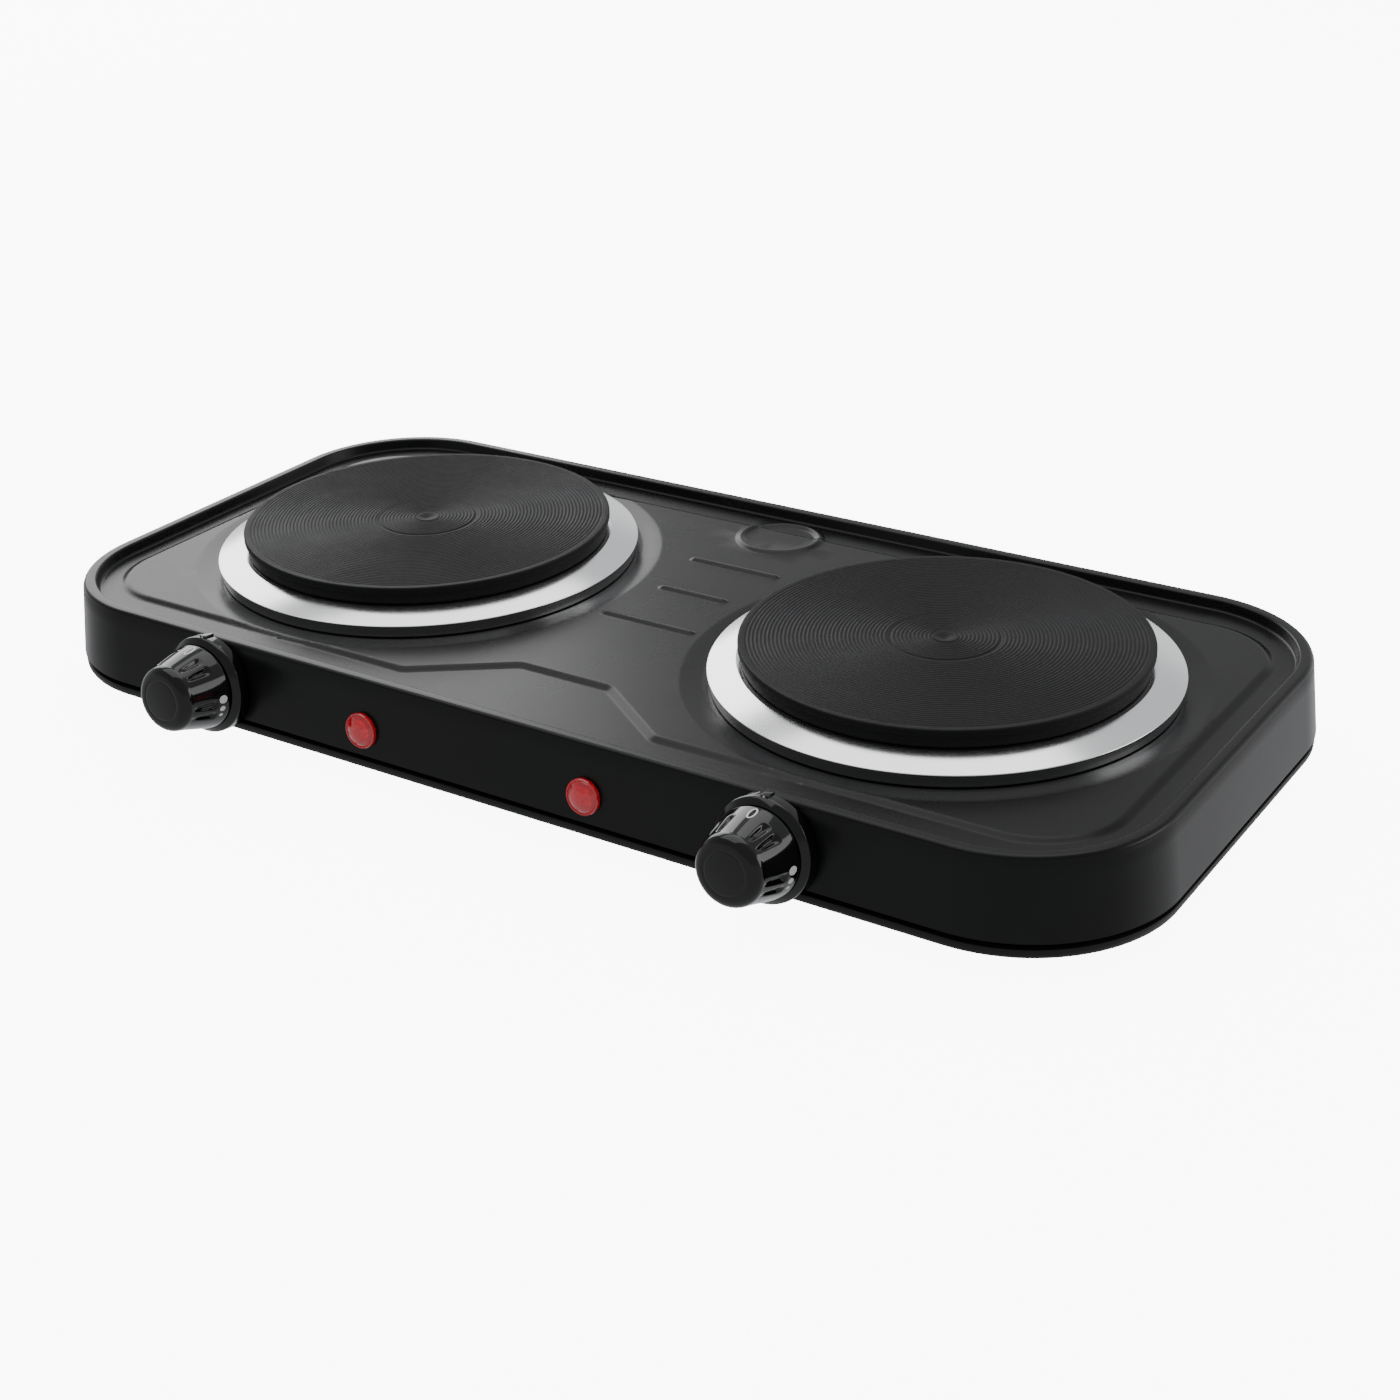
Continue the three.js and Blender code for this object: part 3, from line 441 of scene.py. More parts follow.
def housing_mesh():
    wall_top = RIM_TOP - 2.2 * MM
    lean = FLARE / (RIM_TOP - HOUSING_EDGE)
    wall = [
        (-FLARE + 0.9 * MM, HOUSING_EDGE + 0.25 * MM),
        (-FLARE + 0.35 * MM, HOUSING_EDGE),
        (-FLARE + 0.05 * MM, HOUSING_EDGE + 0.25 * MM),
        (-FLARE + 0.1 * MM, HOUSING_EDGE + 0.8 * MM),
    ]
    wall += [(-lean * (RIM_TOP - z), z) for z in np.linspace(HOUSING_EDGE + 3 * MM, wall_top, 6)]
    rim = arc((2.0 * MM, RIM_TOP - 2.0 * MM), 2.0 * MM, 176, 90, 9)
    rim += arc((4.4 * MM, RIM_TOP - 1.1 * MM), 1.1 * MM, 90, 16, 7)
    rim += arc((7.1 * MM, GUTTER_Z + 1.3 * MM), 1.3 * MM, 196, 270, 7)
    rings = [inset_ring(inset, z) for inset, z in wall + rim]
    vertices, faces = skin(rings)

    edge = [(x, y - BODY_Y) for x, y, _ in rings[-1]]
    openings = [circle(x, PLATE_Y - BODY_Y, OPENING_RADIUS, ROUND_STEPS) for x in PLATE_X.values()]
    inner = deck_points()
    limit = np.array([RIM_HALF_X, RIM_HALF_Y]) - GUTTER_INSET
    beyond = np.abs(inner) - (limit - GUTTER_CORNER)
    inner = inner[np.hypot(*np.maximum(beyond, 0).T) < GUTTER_CORNER]
    for x in PLATE_X.values():
        r = np.hypot(inner[:, 0] - x, inner[:, 1] - (PLATE_Y - BODY_Y))
        inner = inner[r > OPENING_RADIUS + 1 * MM]
    flat = [np.array(edge), *openings, inner]
    spans = np.cumsum([0] + [len(f) for f in flat])
    loops = []
    for k in range(3):
        ids = list(range(spans[k], spans[k + 1]))
        loops += list(zip(ids, ids[1:] + ids[:1]))
    points = np.concatenate(flat)
    scale = 1000.0
    made = delaunay_2d_cdt([Vector(p * scale) for p in points], loops, [], 0, 1e-4)
    flat_points = np.array([tuple(p) for p in made[0]]) / scale
    triangles = np.array(made[2])
    centres = flat_points[triangles].mean(axis=1)
    keep = np.ones(len(triangles), bool)
    for x in PLATE_X.values():
        r = np.hypot(centres[:, 0] - x, centres[:, 1] - (PLATE_Y - BODY_Y))
        keep &= r > OPENING_RADIUS * 0.9999
    heights = deck_height(flat_points)
    heights[:len(edge)] = GUTTER_Z
    start = len(vertices)
    vertices += [(x, y + BODY_Y, z) for (x, y), z in zip(flat_points, heights)]
    faces += [tuple(int(i) + start for i in t) for t in triangles[keep]]
    for x in PLATE_X.values():
        lips = []
        for radius, drop in ((0, 0), (0.5, 0.12), (0.85, 0.5), (1, 1.1), (1, 2.6)):
            lip = circle(x, PLATE_Y, OPENING_RADIUS - radius * MM, ROUND_STEPS)
            lips.append([(px, py, WELL_Z - drop * MM) for px, py in lip])
        more, quads = skin(lips)
        start = len(vertices)
        vertices += more
        faces += [tuple(i + start for i in q) for q in quads]
    return vertices, faces


def leaning_place(x, z, facing):
    """A matrix that puts a piece made round the y axis on the front (-1) or back (+1) wall."""
    lean = math.atan(FLARE / (RIM_TOP - HOUSING_EDGE))
    reach = RIM_HALF_Y + FLARE * (RIM_TOP - z) / (RIM_TOP - HOUSING_EDGE)
    place = Matrix.Translation((x, BODY_Y + facing * reach, z))
    return place @ Matrix.Rotation(facing * lean, 4, "X")


def middle_of(node):
    low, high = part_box(node)
    return (low + high) / 2


CONTROL_Z = RIM_TOP - 18 * MM
LAMP_Z = RIM_TOP - 20 * MM
GLAND_Z = RIM_TOP - 18 * MM
CONTROL_PLACE = {s: leaning_place(middle_of(f"{s}_knob").x, CONTROL_Z, -1) for s in PLATE_X}
LAMP_PLACE = {s: leaning_place(middle_of(f"{s}_lamp_lens").x, LAMP_Z, -1) for s in PLATE_X}
GLAND_PLACE = leaning_place(middle_of("cord_gland").x, GLAND_Z, 1)


def round_cutter(name, holes, segments):
    """Short cylinders about the z axes of some places, as one piece to cut round holes with."""
    work = bmesh.new()
    for place, radius in holes:
        bmesh.ops.create_cone(
            work, cap_ends=True, segments=segments, radius1=radius, radius2=radius, depth=CUTTER_LENGTH,
            matrix=place,
        )
    mesh = bpy.data.meshes.new(name)
    work.to_mesh(mesh)
    work.free()
    return in_scene(name, mesh)


def wall_holes():
    """Places and radii of the holes in the front and back walls."""
    holes = [(place, CONTROL_HOLE) for place in CONTROL_PLACE.values()]
    holes += [(place, LAMP_HOLE) for place in LAMP_PLACE.values()]
    holes.append((GLAND_PLACE, BUSH_HOLE))
    for place in CONTROL_PLACE.values():
        for x in (-CONTROL_SCREW_OFFSET, CONTROL_SCREW_OFFSET):
            holes.append((place @ Matrix.Translation((x, 0, 0)), CONTROL_SCREW_HOLE))
    level = Matrix.Rotation(math.pi / 2, 4, "X")
    return [(place @ level, radius) for place, radius in holes]


def bake_modifiers(piece):
    """Replaces a piece's mesh by what its modifiers make of it."""
    graph = bpy.context.evaluated_depsgraph_get()
    made = bpy.data.meshes.new_from_object(piece.evaluated_get(graph))
    piece.modifiers.clear()
    old = piece.data
    piece.data = made
    bpy.data.meshes.remove(old)


def boolean(piece, other, operation):
    """Joins another piece to a piece or cuts it out, and removes the other piece."""
    modifier = piece.modifiers.new(operation.lower(), "BOOLEAN")
    modifier.operation = operation
    modifier.solver = "EXACT"
    modifier.object = other
    bake_modifiers(piece)
    bpy.data.objects.remove(other)


black_enamel = enamel("black_enamel", (0.005, 0.005, 0.0053), 0.27, 900, 0.04 * MM)
housing = make_object("housing", *housing_mesh(), black_enamel)
shell = housing.modifiers.new("sheet", "SOLIDIFY")
shell.thickness = SHEET
shell.offset = -1
bake_modifiers(housing)
boolean(housing, round_cutter("wall_holes", wall_holes(), 48), "DIFFERENCE")
smooth(housing, 50)
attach(housing, "body")
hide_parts("top_housing")

# ---- Cooking plates ----
# Cast-iron plates, turned on a lathe: the cooking face keeps the tool's fine rings, with a dimple in the
# middle and one deeper groove round it. A skirt hangs below the edge, and a stud is cast in beneath.
PLATE_TOP = left_high.z
PLATE_NECK = PLATE_RADIUS / MM - 3.7
RING_PITCH = 1.5 * MM
RING_DEPTH = 0.27 * MM
RINGS_FROM = 5.2 * MM
FACE_BAND = 0.6 * MM
TOOL_PITCH = 0.5 * MM
DIMPLE_RADIUS = 4.6
DIMPLE_DEPTH = 0.9
GROOVE_RADIUS = 20.8
GROOVE_HALF_WIDTH = 0.9
GROOVE_DEPTH = 0.45


def lathe(profile, count, place, wrap=False):
    """A surface turned round a place's y axis from points of radius and outward reach, for make_object."""
    turns = np.arange(count) * 2 * math.pi / count
    rings = [
        [place @ Vector((r * math.sin(t), -out, r * math.cos(t))) for t in turns]
        for r, out in (profile + profile[:1] if wrap else profile)
    ]
    return skin(rings)


def upright(x, y):
    """A place whose outward reach is height above the floor."""
    return Matrix.Translation((x, y, 0)) @ Matrix.Rotation(-math.pi / 2, 4, "X")


def round_corner(corner, before, after, radius, steps=5):
    """Points that round one corner of a profile, between the points before and after it."""
    corner, before, after = (np.array(p, float) for p in (corner, before, after))
    one = (before - corner) / np.linalg.norm(before - corner)
    two = (after - corner) / np.linalg.norm(after - corner)
    half = math.acos(np.clip(np.dot(one, two), -1, 1)) / 2
    reach = radius / math.tan(half)
    start, end = corner + one * reach, corner + two * reach
    middle = corner + (one + two) / np.linalg.norm(one + two) * radius / math.sin(half)
    points = []
    for t in np.linspace(0, 1, steps + 1):
        p = start * (1 - t) + end * t - middle
        points.append(tuple(middle + p / np.linalg.norm(p) * radius))
    return points


def rounded(profile):
    """A profile of (radius, reach, fillet) in millimetres, with its corners rounded, in metres."""
    points = []
    count = len(profile)
    for i, (r, out, fillet) in enumerate(profile):
        if fillet:
            before, after = profile[i - 1][:2], profile[(i + 1) % count][:2]
            points += round_corner((r, out), before, after, fillet)
        else:
            points.append((r, out))
    return [(r * MM, out * MM) for r, out in points]


def node_tree(name, sizes):
    """A geometry node tree with a geometry socket and one number socket for each named size."""
    tree = bpy.data.node_groups.new(name, "GeometryNodeTree")
    tree.interface.new_socket("Geometry", in_out="INPUT", socket_type="NodeSocketGeometry")
    tree.interface.new_socket("Geometry", in_out="OUTPUT", socket_type="NodeSocketGeometry")
    for size in sizes:
        tree.interface.new_socket(size, in_out="INPUT", socket_type="NodeSocketFloat")
    return tree, tree.nodes.new("NodeGroupInput").outputs, tree.nodes.new("NodeGroupOutput").inputs


def feed(tree, node, *values):
    """Gives a node's sockets, in their order, numbers or the results of other nodes."""
    for socket, value in zip(node.inputs, values):
        if isinstance(value, (int, float)):
            socket.default_value = value
        else:
            tree.links.new(value, socket)
    return node.outputs[0]


def calc(tree, operation, *values):
    node = tree.nodes.new("ShaderNodeMath")
    node.operation = operation
    return feed(tree, node, *values)


def joined(tree, x, y, z):
    return feed(tree, tree.nodes.new("ShaderNodeCombineXYZ"), x, y, z)


def add(tree, *values):
    return calc(tree, "ADD", *values)


def subtract(tree, *values):
    return calc(tree, "SUBTRACT", *values)


def multiply(tree, *values):
    return calc(tree, "MULTIPLY", *values)


def distance(tree, x, y):
    return calc(tree, "SQRT", add(tree, multiply(tree, x, x), multiply(tree, y, y)))


def from_middle(tree, place, x, y):
    """A place's coordinates, counted from a middle."""
    centre = tree.nodes.new("ShaderNodeMapping")
    centre.inputs["Location"].default_value = (-x, -y, 0)
    tree.links.new(place, centre.inputs["Vector"])
    return centre.outputs["Vector"]


def moved(tree, sizes, offset):
    """The tree's own geometry, with its points moved by an offset."""
    move = tree.nodes.new("GeometryNodeSetPosition")
    tree.links.new(sizes["Geometry"], move.inputs["Geometry"])
    tree.links.new(offset, move.inputs["Offset"])
    return move.outputs[0]


def finish_tree(tree, geometry, outlet, material):
    """Every tree ends the same way: its instances made real, then one material set."""
    real = tree.nodes.new("GeometryNodeRealizeInstances")
    paint = tree.nodes.new("GeometryNodeSetMaterial")
    paint.inputs["Material"].default_value = material
    tree.links.new(geometry, real.inputs[0])
    tree.links.new(real.outputs[0], paint.inputs[0])
    tree.links.new(paint.outputs[0], outlet)


def run_tree(piece, tree, sizes):
    """Runs a tree on a piece with its named sizes, and keeps the mesh that comes out."""
    modifier = piece.modifiers.new(tree.name, "NODES")
    modifier.node_group = tree
    for socket in tree.interface.items_tree:
        if socket.in_out == "INPUT" and socket.name in sizes:
            modifier[socket.identifier] = sizes[socket.name]
    bake_modifiers(piece)
    bpy.data.node_groups.remove(tree)


def cast_iron(name, x, y):
    """Blackened cast iron, turned: fine rings round the plate's own middle and a dull, mottled gloss."""
    material, tree, shader, place = new_material(name)
    across, back, _ = axes_of(tree, from_middle(tree, place, x, y))
    mottle = noise(tree, place, 60, 6)
    pores = noise(tree, place, 1400, 2)
    reach = distance(tree, across, back)
    fine = calc(tree, "SINE", multiply(tree, reach, 2 * math.pi / TOOL_PITCH))
    bump_up(tree, shader, add(tree, multiply(tree, fine, 0.25), pores), 0.5, 0.05 * MM)
    tint_base(tree, shader, mottle, (0.006, 0.006, 0.0062), (0.012, 0.012, 0.0123))
    tree.links.new(add(tree, multiply(tree, mottle, 0.16), 0.5), shader.inputs["Roughness"])
    set_inputs(shader, Metallic=0.1, Specular_IOR_Level=0.16)
    return material


def turned_rings(x, y, material):
    """Sinks fine concentric rings into a plate's cooking face, by a wave of the distance from its middle."""
    tree, sizes, outlets = node_tree("turned_rings", ["pitch", "depth", "inner", "outer", "top"])
    across, back, height = axes_of(tree, tree.nodes.new("GeometryNodeInputPosition").outputs[0])
    reach = distance(tree, subtract(tree, across, x), subtract(tree, back, y))
    turn = multiply(tree, calc(tree, "DIVIDE", reach, sizes["pitch"]), 2 * math.pi)
    wave = multiply(tree, subtract(tree, 1.0, calc(tree, "COSINE", turn)), 0.5)
    beyond_dimple = calc(tree, "GREATER_THAN", reach, sizes["inner"])
    inside_edge = calc(tree, "LESS_THAN", reach, sizes["outer"])
    at_top = calc(tree, "GREATER_THAN", height, subtract(tree, sizes["top"], FACE_BAND))
    on_face = multiply(tree, beyond_dimple, multiply(tree, inside_edge, at_top))
    drop = multiply(tree, multiply(tree, wave, on_face), sizes["depth"])
    offset = joined(tree, 0, 0, multiply(tree, drop, -1.0))
    finish_tree(tree, moved(tree, sizes, offset), outlets["Geometry"], material)
    return tree


def plate_profile():
    radius, top, rim = PLATE_RADIUS / MM, PLATE_TOP / MM, RIM_TOP / MM
    face = []
    for r in np.arange(0, radius - 1.1, 0.25):
        dimple = DIMPLE_DEPTH * (1 - smooth_step(r / DIMPLE_RADIUS))
        groove = GROOVE_DEPTH * (1 - smooth_step(abs(r - GROOVE_RADIUS) / GROOVE_HALF_WIDTH))
        face.append((r * MM, (top - float(max(dimple, groove))) * MM))
    neck = PLATE_NECK
    below = [
        (radius - 1, top, 0), (radius, top, 0.7), (radius, top - 2.6, 0.3), (radius - 1.5, top - 3.3, 0.3),
        (radius - 1.1, rim + 5, 0.6), (neck, rim + 5, 0.8),
        (neck, rim - 8, 0.7), (neck - 4.3, rim - 8, 0.7), (neck - 4.3, rim - 3, 1.5), (8, rim - 3, 1),
        (8, rim - 6, 0.5), (3, rim - 6, 0.3), (3, rim - 21, 0.5), (0, rim - 21, 0),
    ]
    return face + rounded(below)


for side, x in PLATE_X.items():
    iron = cast_iron(f"{side}_cast_iron", x, PLATE_Y)
    turned = lathe(plate_profile(), 160, upright(x, PLATE_Y))
    plate = make_object(f"{side}_cooking_plate", *turned, iron, 40)
    run_tree(plate, turned_rings(x, PLATE_Y, iron), {
        "pitch": RING_PITCH, "depth": RING_DEPTH, "inner": RINGS_FROM, "outer": PLATE_RADIUS - 2 * MM,
        "top": PLATE_TOP,
    })
    smooth(plate, 40)
    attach(plate, "body")
    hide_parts(f"{side}_plate")

# ---- Trim rings ----
# Spun stainless rings, polished: a flat flange under each plate, a shallow cone, a rolled lip over the deck's
# well, and a short skirt that stands in the well.
TRIM_CONE = 11


def polished(name, colour, roughness, x, y):
    """Bright spun steel: faint rings round a middle and a soft cloud in the polish."""
    material, tree, shader, place = new_material(name)
    length = tree.nodes.new("ShaderNodeVectorMath")
    length.operation = "LENGTH"
    tree.links.new(from_middle(tree, place, x, y), length.inputs[0])
    streaks = tree.nodes.new("ShaderNodeTexNoise")
    streaks.noise_dimensions = "1D"
    set_inputs(streaks, Scale=2600, Detail=3)
    tree.links.new(length.outputs["Value"], streaks.inputs["W"])
    bump_up(tree, shader, streaks.outputs["Fac"], 0.12, 0.008 * MM)
    cloud = noise(tree, place, 30, 5)
    tree.links.new(add(tree, multiply(tree, cloud, 0.1), roughness), shader.inputs["Roughness"])
    set_inputs(shader, Base_Color=(*colour, 1), Metallic=1)
    return material


def trim_profile():
    rim, outer, inner = RIM_TOP / MM, TRIM_RADIUS / MM, PLATE_NECK + 0.5
    cone = outer - TRIM_CONE
    return rounded([
        (inner, rim + 4.7, 0.3), (cone, rim + 4.7, 1.2), (outer, rim + 1.2, 0.35), (outer, rim + 0.4, 0.3),
        (outer - 0.8, rim + 0.4, 0.3), (outer - 0.8, rim - 3.9, 0.3), (outer - 1.8, rim - 3.9, 0.3),
        (outer - 1.8, rim + 0.4, 0.3), (cone, rim + 3.7, 0.6), (inner, rim + 3.7, 0.3),
    ])


for side, x in PLATE_X.items():
    bright = polished(f"{side}_polished_steel", (0.86, 0.865, 0.87), 0.14, x, PLATE_Y)
    mesh_parts = lathe(trim_profile(), 200, upright(x, PLATE_Y), wrap=True)
    trim = make_object(f"{side}_steel_ring", *mesh_parts, bright, 40)
    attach(trim, "body")
    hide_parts(f"{side}_trim_ring")

# ---- Knobs ----
# Gloss black moulded knobs, pushed onto the control shafts: a slim cone with a domed shoulder round a flat
# face, and five pairs of finger grooves. White setting marks are printed round the wide end.
KNOB_BACK = 8.1 * MM
KNOB_SHOULDER = 24.3 * MM
KNOB_FRONT = 28.8 * MM
KNOB_WIDE = 17 * MM
KNOB_NARROW = 13.3 * MM
KNOB_FACE = 8.3 * MM
GRIPS = {
    "pairs": 5, "spread": math.radians(19), "start": 13.0 * MM, "end": 25.2 * MM, "width": 4.6 * MM,
    "depth": 1.25 * MM,
}
GRIPS_BEYOND = 12.4 * MM


def gloss_plastic(name, colour, roughness):
    """Moulded plastic: a deep gloss with a very slight unevenness from the mould."""
    material = enamel(name, colour, roughness, 160, 0.02 * MM)
    set_inputs(nodes_of(material)[1], Coat_Weight=0.4, Coat_Roughness=0.04)
    return material


def knob_cone(out):
    """Radius of the knob's cone at a distance out from the wall, a little convex."""
    t = (out - KNOB_BACK) / (KNOB_SHOULDER - KNOB_BACK)
    return KNOB_WIDE + (KNOB_NARROW - KNOB_WIDE) * t - 0.25 * MM * (1 - t) * 4 * t * (t - 0.5)


def knob_profile():
    inside = [(0, 24.8, 0), (3.3, 24.8, 0.3), (3.3, 8.1, 0.4), (5.5, 8.1, 0.4), (5.5, 22.8, 0.8)]
    inside += [(9.7, 22.8, 0.8), (13.4, 10.1, 0.5), (13.4, 8.1, 0.4), (15.8, 8.1, 0)]
    points = rounded(inside)
    points += [(16.5 * MM, KNOB_BACK), (16.85 * MM, KNOB_BACK + 0.15 * MM)]
    points += [(knob_cone(out), out) for out in np.linspace(KNOB_BACK + 0.6 * MM, KNOB_SHOULDER, 64)]
    for t in np.linspace(0, 1, 15)[1:]:
        turn = t * math.pi / 2
        points.append((
            KNOB_FACE + (KNOB_NARROW - KNOB_FACE) * math.cos(turn) ** 0.85,
            KNOB_SHOULDER + (KNOB_FRONT - KNOB_SHOULDER - 0.15 * MM) * math.sin(turn) ** 1.1,
        ))
    points += [(8 * MM, KNOB_FRONT - 0.25 * MM), (7.7 * MM, KNOB_FRONT - 0.1 * MM), (7.3 * MM, KNOB_FRONT)]
    return points + [(0, KNOB_FRONT)]


def grip_grooves(material):
    """Presses pairs of tapering grooves into a knob that stands on the y axis, evenly round it."""
    tree, sizes, outlets = node_tree("grip_grooves", GRIPS)
    x, y, z = axes_of(tree, tree.nodes.new("GeometryNodeInputPosition").outputs[0])
    out = multiply(tree, y, -1.0)
    radius = distance(tree, x, z)
    # The angle from the middle of the nearest pair, and from there to the nearest groove of that pair.
    share = calc(tree, "DIVIDE", calc(tree, "ARCTAN2", x, z), 2 * math.pi)
    turn = multiply(tree, share, sizes["pairs"])
    from_pair = subtract(tree, subtract(tree, turn, calc(tree, "FLOOR", turn)), 0.5)
    angle = calc(tree, "DIVIDE", multiply(tree, from_pair, 2 * math.pi), sizes["pairs"])
    off = subtract(tree, calc(tree, "ABSOLUTE", angle), multiply(tree, sizes["spread"], 0.5))
    away = multiply(tree, calc(tree, "ABSOLUTE", off), radius)
    # Along the groove from 0 to 1, while it gets narrower.
    length = subtract(tree, sizes["end"], sizes["start"])
    along = calc(tree, "DIVIDE", subtract(tree, out, sizes["start"]), length)
    half = multiply(tree, sizes["width"], subtract(tree, 0.5, multiply(tree, along, 0.26)))
    across = multiply(tree, subtract(tree, 1.0, calc(tree, "DIVIDE", away, half)), 1.15)
    head = multiply(tree, along, 4.5)
    tail = multiply(tree, subtract(tree, 1.0, along), 2.0)
    shape = calc(tree, "GREATER_THAN", radius, GRIPS_BEYOND)
    for value in (across, head, tail):
        shape = multiply(tree, shape, ramp(tree, value, (0, 1), (0, 1)))
    push = multiply(tree, shape, sizes["depth"])
    scale = calc(tree, "DIVIDE", multiply(tree, push, -1.0), radius)
    offset = joined(tree, multiply(tree, x, scale), 0, multiply(tree, z, scale))
    finish_tree(tree, moved(tree, sizes, offset), outlets["Geometry"], material)
    return tree


def put(piece, place):
    """Turns a piece's own points into place, so that its object stays at the origin."""
    piece.data.transform(place)
    piece.data.update()


def knob_mark(turn, out, size, hole=None):
    """A printed spot or loop on the knob's cone, as points and faces about the y axis."""
    count = 28
    proud, sunk = 0.04, -0.08
    middle = (0.0, 0.0) if hole is None else hole
    loops = [(*middle, proud), (*size, proud), (*size, sunk), (*middle, sunk)]
    if hole is not None:
        loops.append((*hole, proud))
    rings = []
    for wide, tall, lift in loops:
        ring = []
        for i in range(count):
            t = 2 * math.pi * i / count
            reach = (out + tall / 2 * math.cos(t)) * MM
            radius = knob_cone(reach) + lift * MM
            angle = math.radians(turn) + wide / 2 * MM * math.sin(t) / knob_cone(out * MM)
            ring.append((radius * math.sin(angle), -reach, radius * math.cos(angle)))
        rings.append(ring)
    return skin(rings)


# The nought for off, a dot beside it, and dots that shrink towards the lowest heat: each mark's turn in
# degrees, how far out it is, its width and height, and the nought's own hole.
MARKS = [
    (0, 12.2, (3.0, 5.9), (1.8, 4.6)), (-20, 12.6, (1.0, 1.0), None), (92, 11.4, (3.4, 3.4), None),
    (106, 11.4, (2.3, 2.3), None), (116.5, 11.4, (1.5, 1.5), None), (144, 11.4, (1.1, 1.1), None),
]
black_plastic = gloss_plastic("black_plastic", (0.004, 0.004, 0.0045), 0.1)
white_print = enamel("white_print", (0.72, 0.72, 0.7), 0.45, 900, 0.01 * MM)
for side, place in CONTROL_PLACE.items():
    knob = make_object(f"{side}_control_knob", *lathe(knob_profile(), 360, Matrix()), black_plastic, 35)
    run_tree(knob, grip_grooves(black_plastic), GRIPS)
    put(knob, place)
    smooth(knob, 35)
    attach(knob, f"{side}_control")
    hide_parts(f"{side}_knob")
    points, faces = [], []
    for turn, out, size, hole in MARKS:
        more, quads = knob_mark(turn, out, size, hole)
        faces += [tuple(i + len(points) for i in quad) for quad in quads]
        points += more
    marks = make_object(f"{side}_knob_marks", points, faces, white_print, 40)
    put(marks, place)
    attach(marks, f"{side}_control")

# ---- Bezels ----
# A gloss black collar round each knob's foot, standing on the wall, with a small pointer block at the top
# that the knob's marks are read against. It clips over the control's two screws.


def bevelled_block(size, middle, bevel):
    """A small block with rounded edges, as a mesh object's points and faces."""
    work = bmesh.new()
    bmesh.ops.create_cube(work, size=1, matrix=Matrix.Translation(middle) @ Matrix.Diagonal((*size, 1)))
    bmesh.ops.bevel(work, geom=work.edges[:], offset=bevel, segments=3, affect="EDGES", profile=0.5)
    points = [tuple(v.co) for v in work.verts]
    index = {v: i for i, v in enumerate(work.verts)}
    faces = [tuple(index[v] for v in face.verts) for face in work.faces]
    work.free()
    return points, faces


BEZEL_PROFILE = [
    (18.4, 0.3, 0.2), (19.5, 1.0, 0.6), (19.5, 5.4, 1.6), (17.2, 7.5, 0.5), (9, 7.5, 0.4), (9, 5.9, 0.3),
    (16.1, 5.9, 0.4), (16.1, 0.3, 0.2),
]
for side, place in CONTROL_PLACE.items():
    collar = lathe(rounded(BEZEL_PROFILE), 160, Matrix(), wrap=True)
    bezel = make_object(f"{side}_bezel", *collar, black_plastic)
    block = bevelled_block((3 * MM, 4.9 * MM, 1.6 * MM), (0, -2.75 * MM, 19.5 * MM), 0.35 * MM)
    boolean(bezel, make_object("pointer_block", *block, black_plastic), "UNION")
    put(bezel, place)
    smooth(bezel, 35)
    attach(bezel, "body")
    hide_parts(f"{side}_knob_bezel")
    tick = bevelled_block((0.7 * MM, 0.12 * MM, 0.9 * MM), (0, -5.22 * MM, 19.55 * MM), 0.03 * MM)
    pointer = make_object(f"{side}_pointer_mark", *tick, white_print)
    put(pointer, place)
    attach(pointer, "body")

# ---- Lamps ----
# Red moulded lenses, one for each plate, pressed into the wall and held by a spring clip behind. The dome is
# cut into small facets so that it glints, inside a plain rim.
# Radius and reach of each band of facets, from the dome's top to its edge, in millimetres.
LENS_FACETS = [(0, 4.4), (1.5, 4.25), (3.1, 3.8), (4.6, 3.05), (5.9, 2.0)]


def lens_shape():
    """The faceted dome's bands turn by half a facet from one to the next; rim and barrel follow."""
    count = 30
    points, faces = [], []
    body = rounded([
        (6.15, 1.75, 0), (6.35, 2.0, 0), (6.75, 1.95, 0), (7, 1.6, 0), (7, 0.3, 0.1), (5, 0.3, 0.1),
        (5, -10, 0.2), (3.8, -10, 0.2), (3.8, 0.6, 0.2), (0, 0.6, 0),
    ])
    rows = [(r * MM, out * MM, k) for k, (r, out) in enumerate(LENS_FACETS)]
    rows += [(r, out, len(LENS_FACETS) - 1) for r, out in body]
    for r, out, half_turns in rows:
        for i in range(count):
            t = 2 * math.pi * (i + half_turns / 2) / count
            points.append((r * math.sin(t), -out, r * math.cos(t)))
    for k in range(len(rows) - 1):
        for i in range(count):
            a, b = k * count + i, k * count + (i + 1) % count
            if k < len(LENS_FACETS) - 1:
                faces += [(a, b, a + count), (b, b + count, a + count)]
            else:
                faces.append((a, b, b + count, a + count))
    return points, faces


def red_lens():
    """Clear red plastic, deeper where it is thick, with a faint painted glow that stands in for light
    scattered inside it.
    """
    material = gloss_plastic("red_lens", (0.5, 0.01, 0.022), 0.03)
    shader = nodes_of(material)[1]
    set_inputs(shader, Transmission_Weight=0.35, Specular_IOR_Level=0.9)
    # Painted glow: a faint red emission stands in for light scattered inside the lens; the bulb behind it is
    # not lit.
    set_inputs(shader, Emission_Color=(0.5, 0.01, 0.02, 1), Emission_Strength=0.12)
    return material


red = red_lens()
for side, place in LAMP_PLACE.items():
    lens = make_object(f"{side}_indicator_lens", *lens_shape(), red, 4)
    put(lens, place)
    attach(lens, "body")
    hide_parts(f"{side}_lamp_lens")

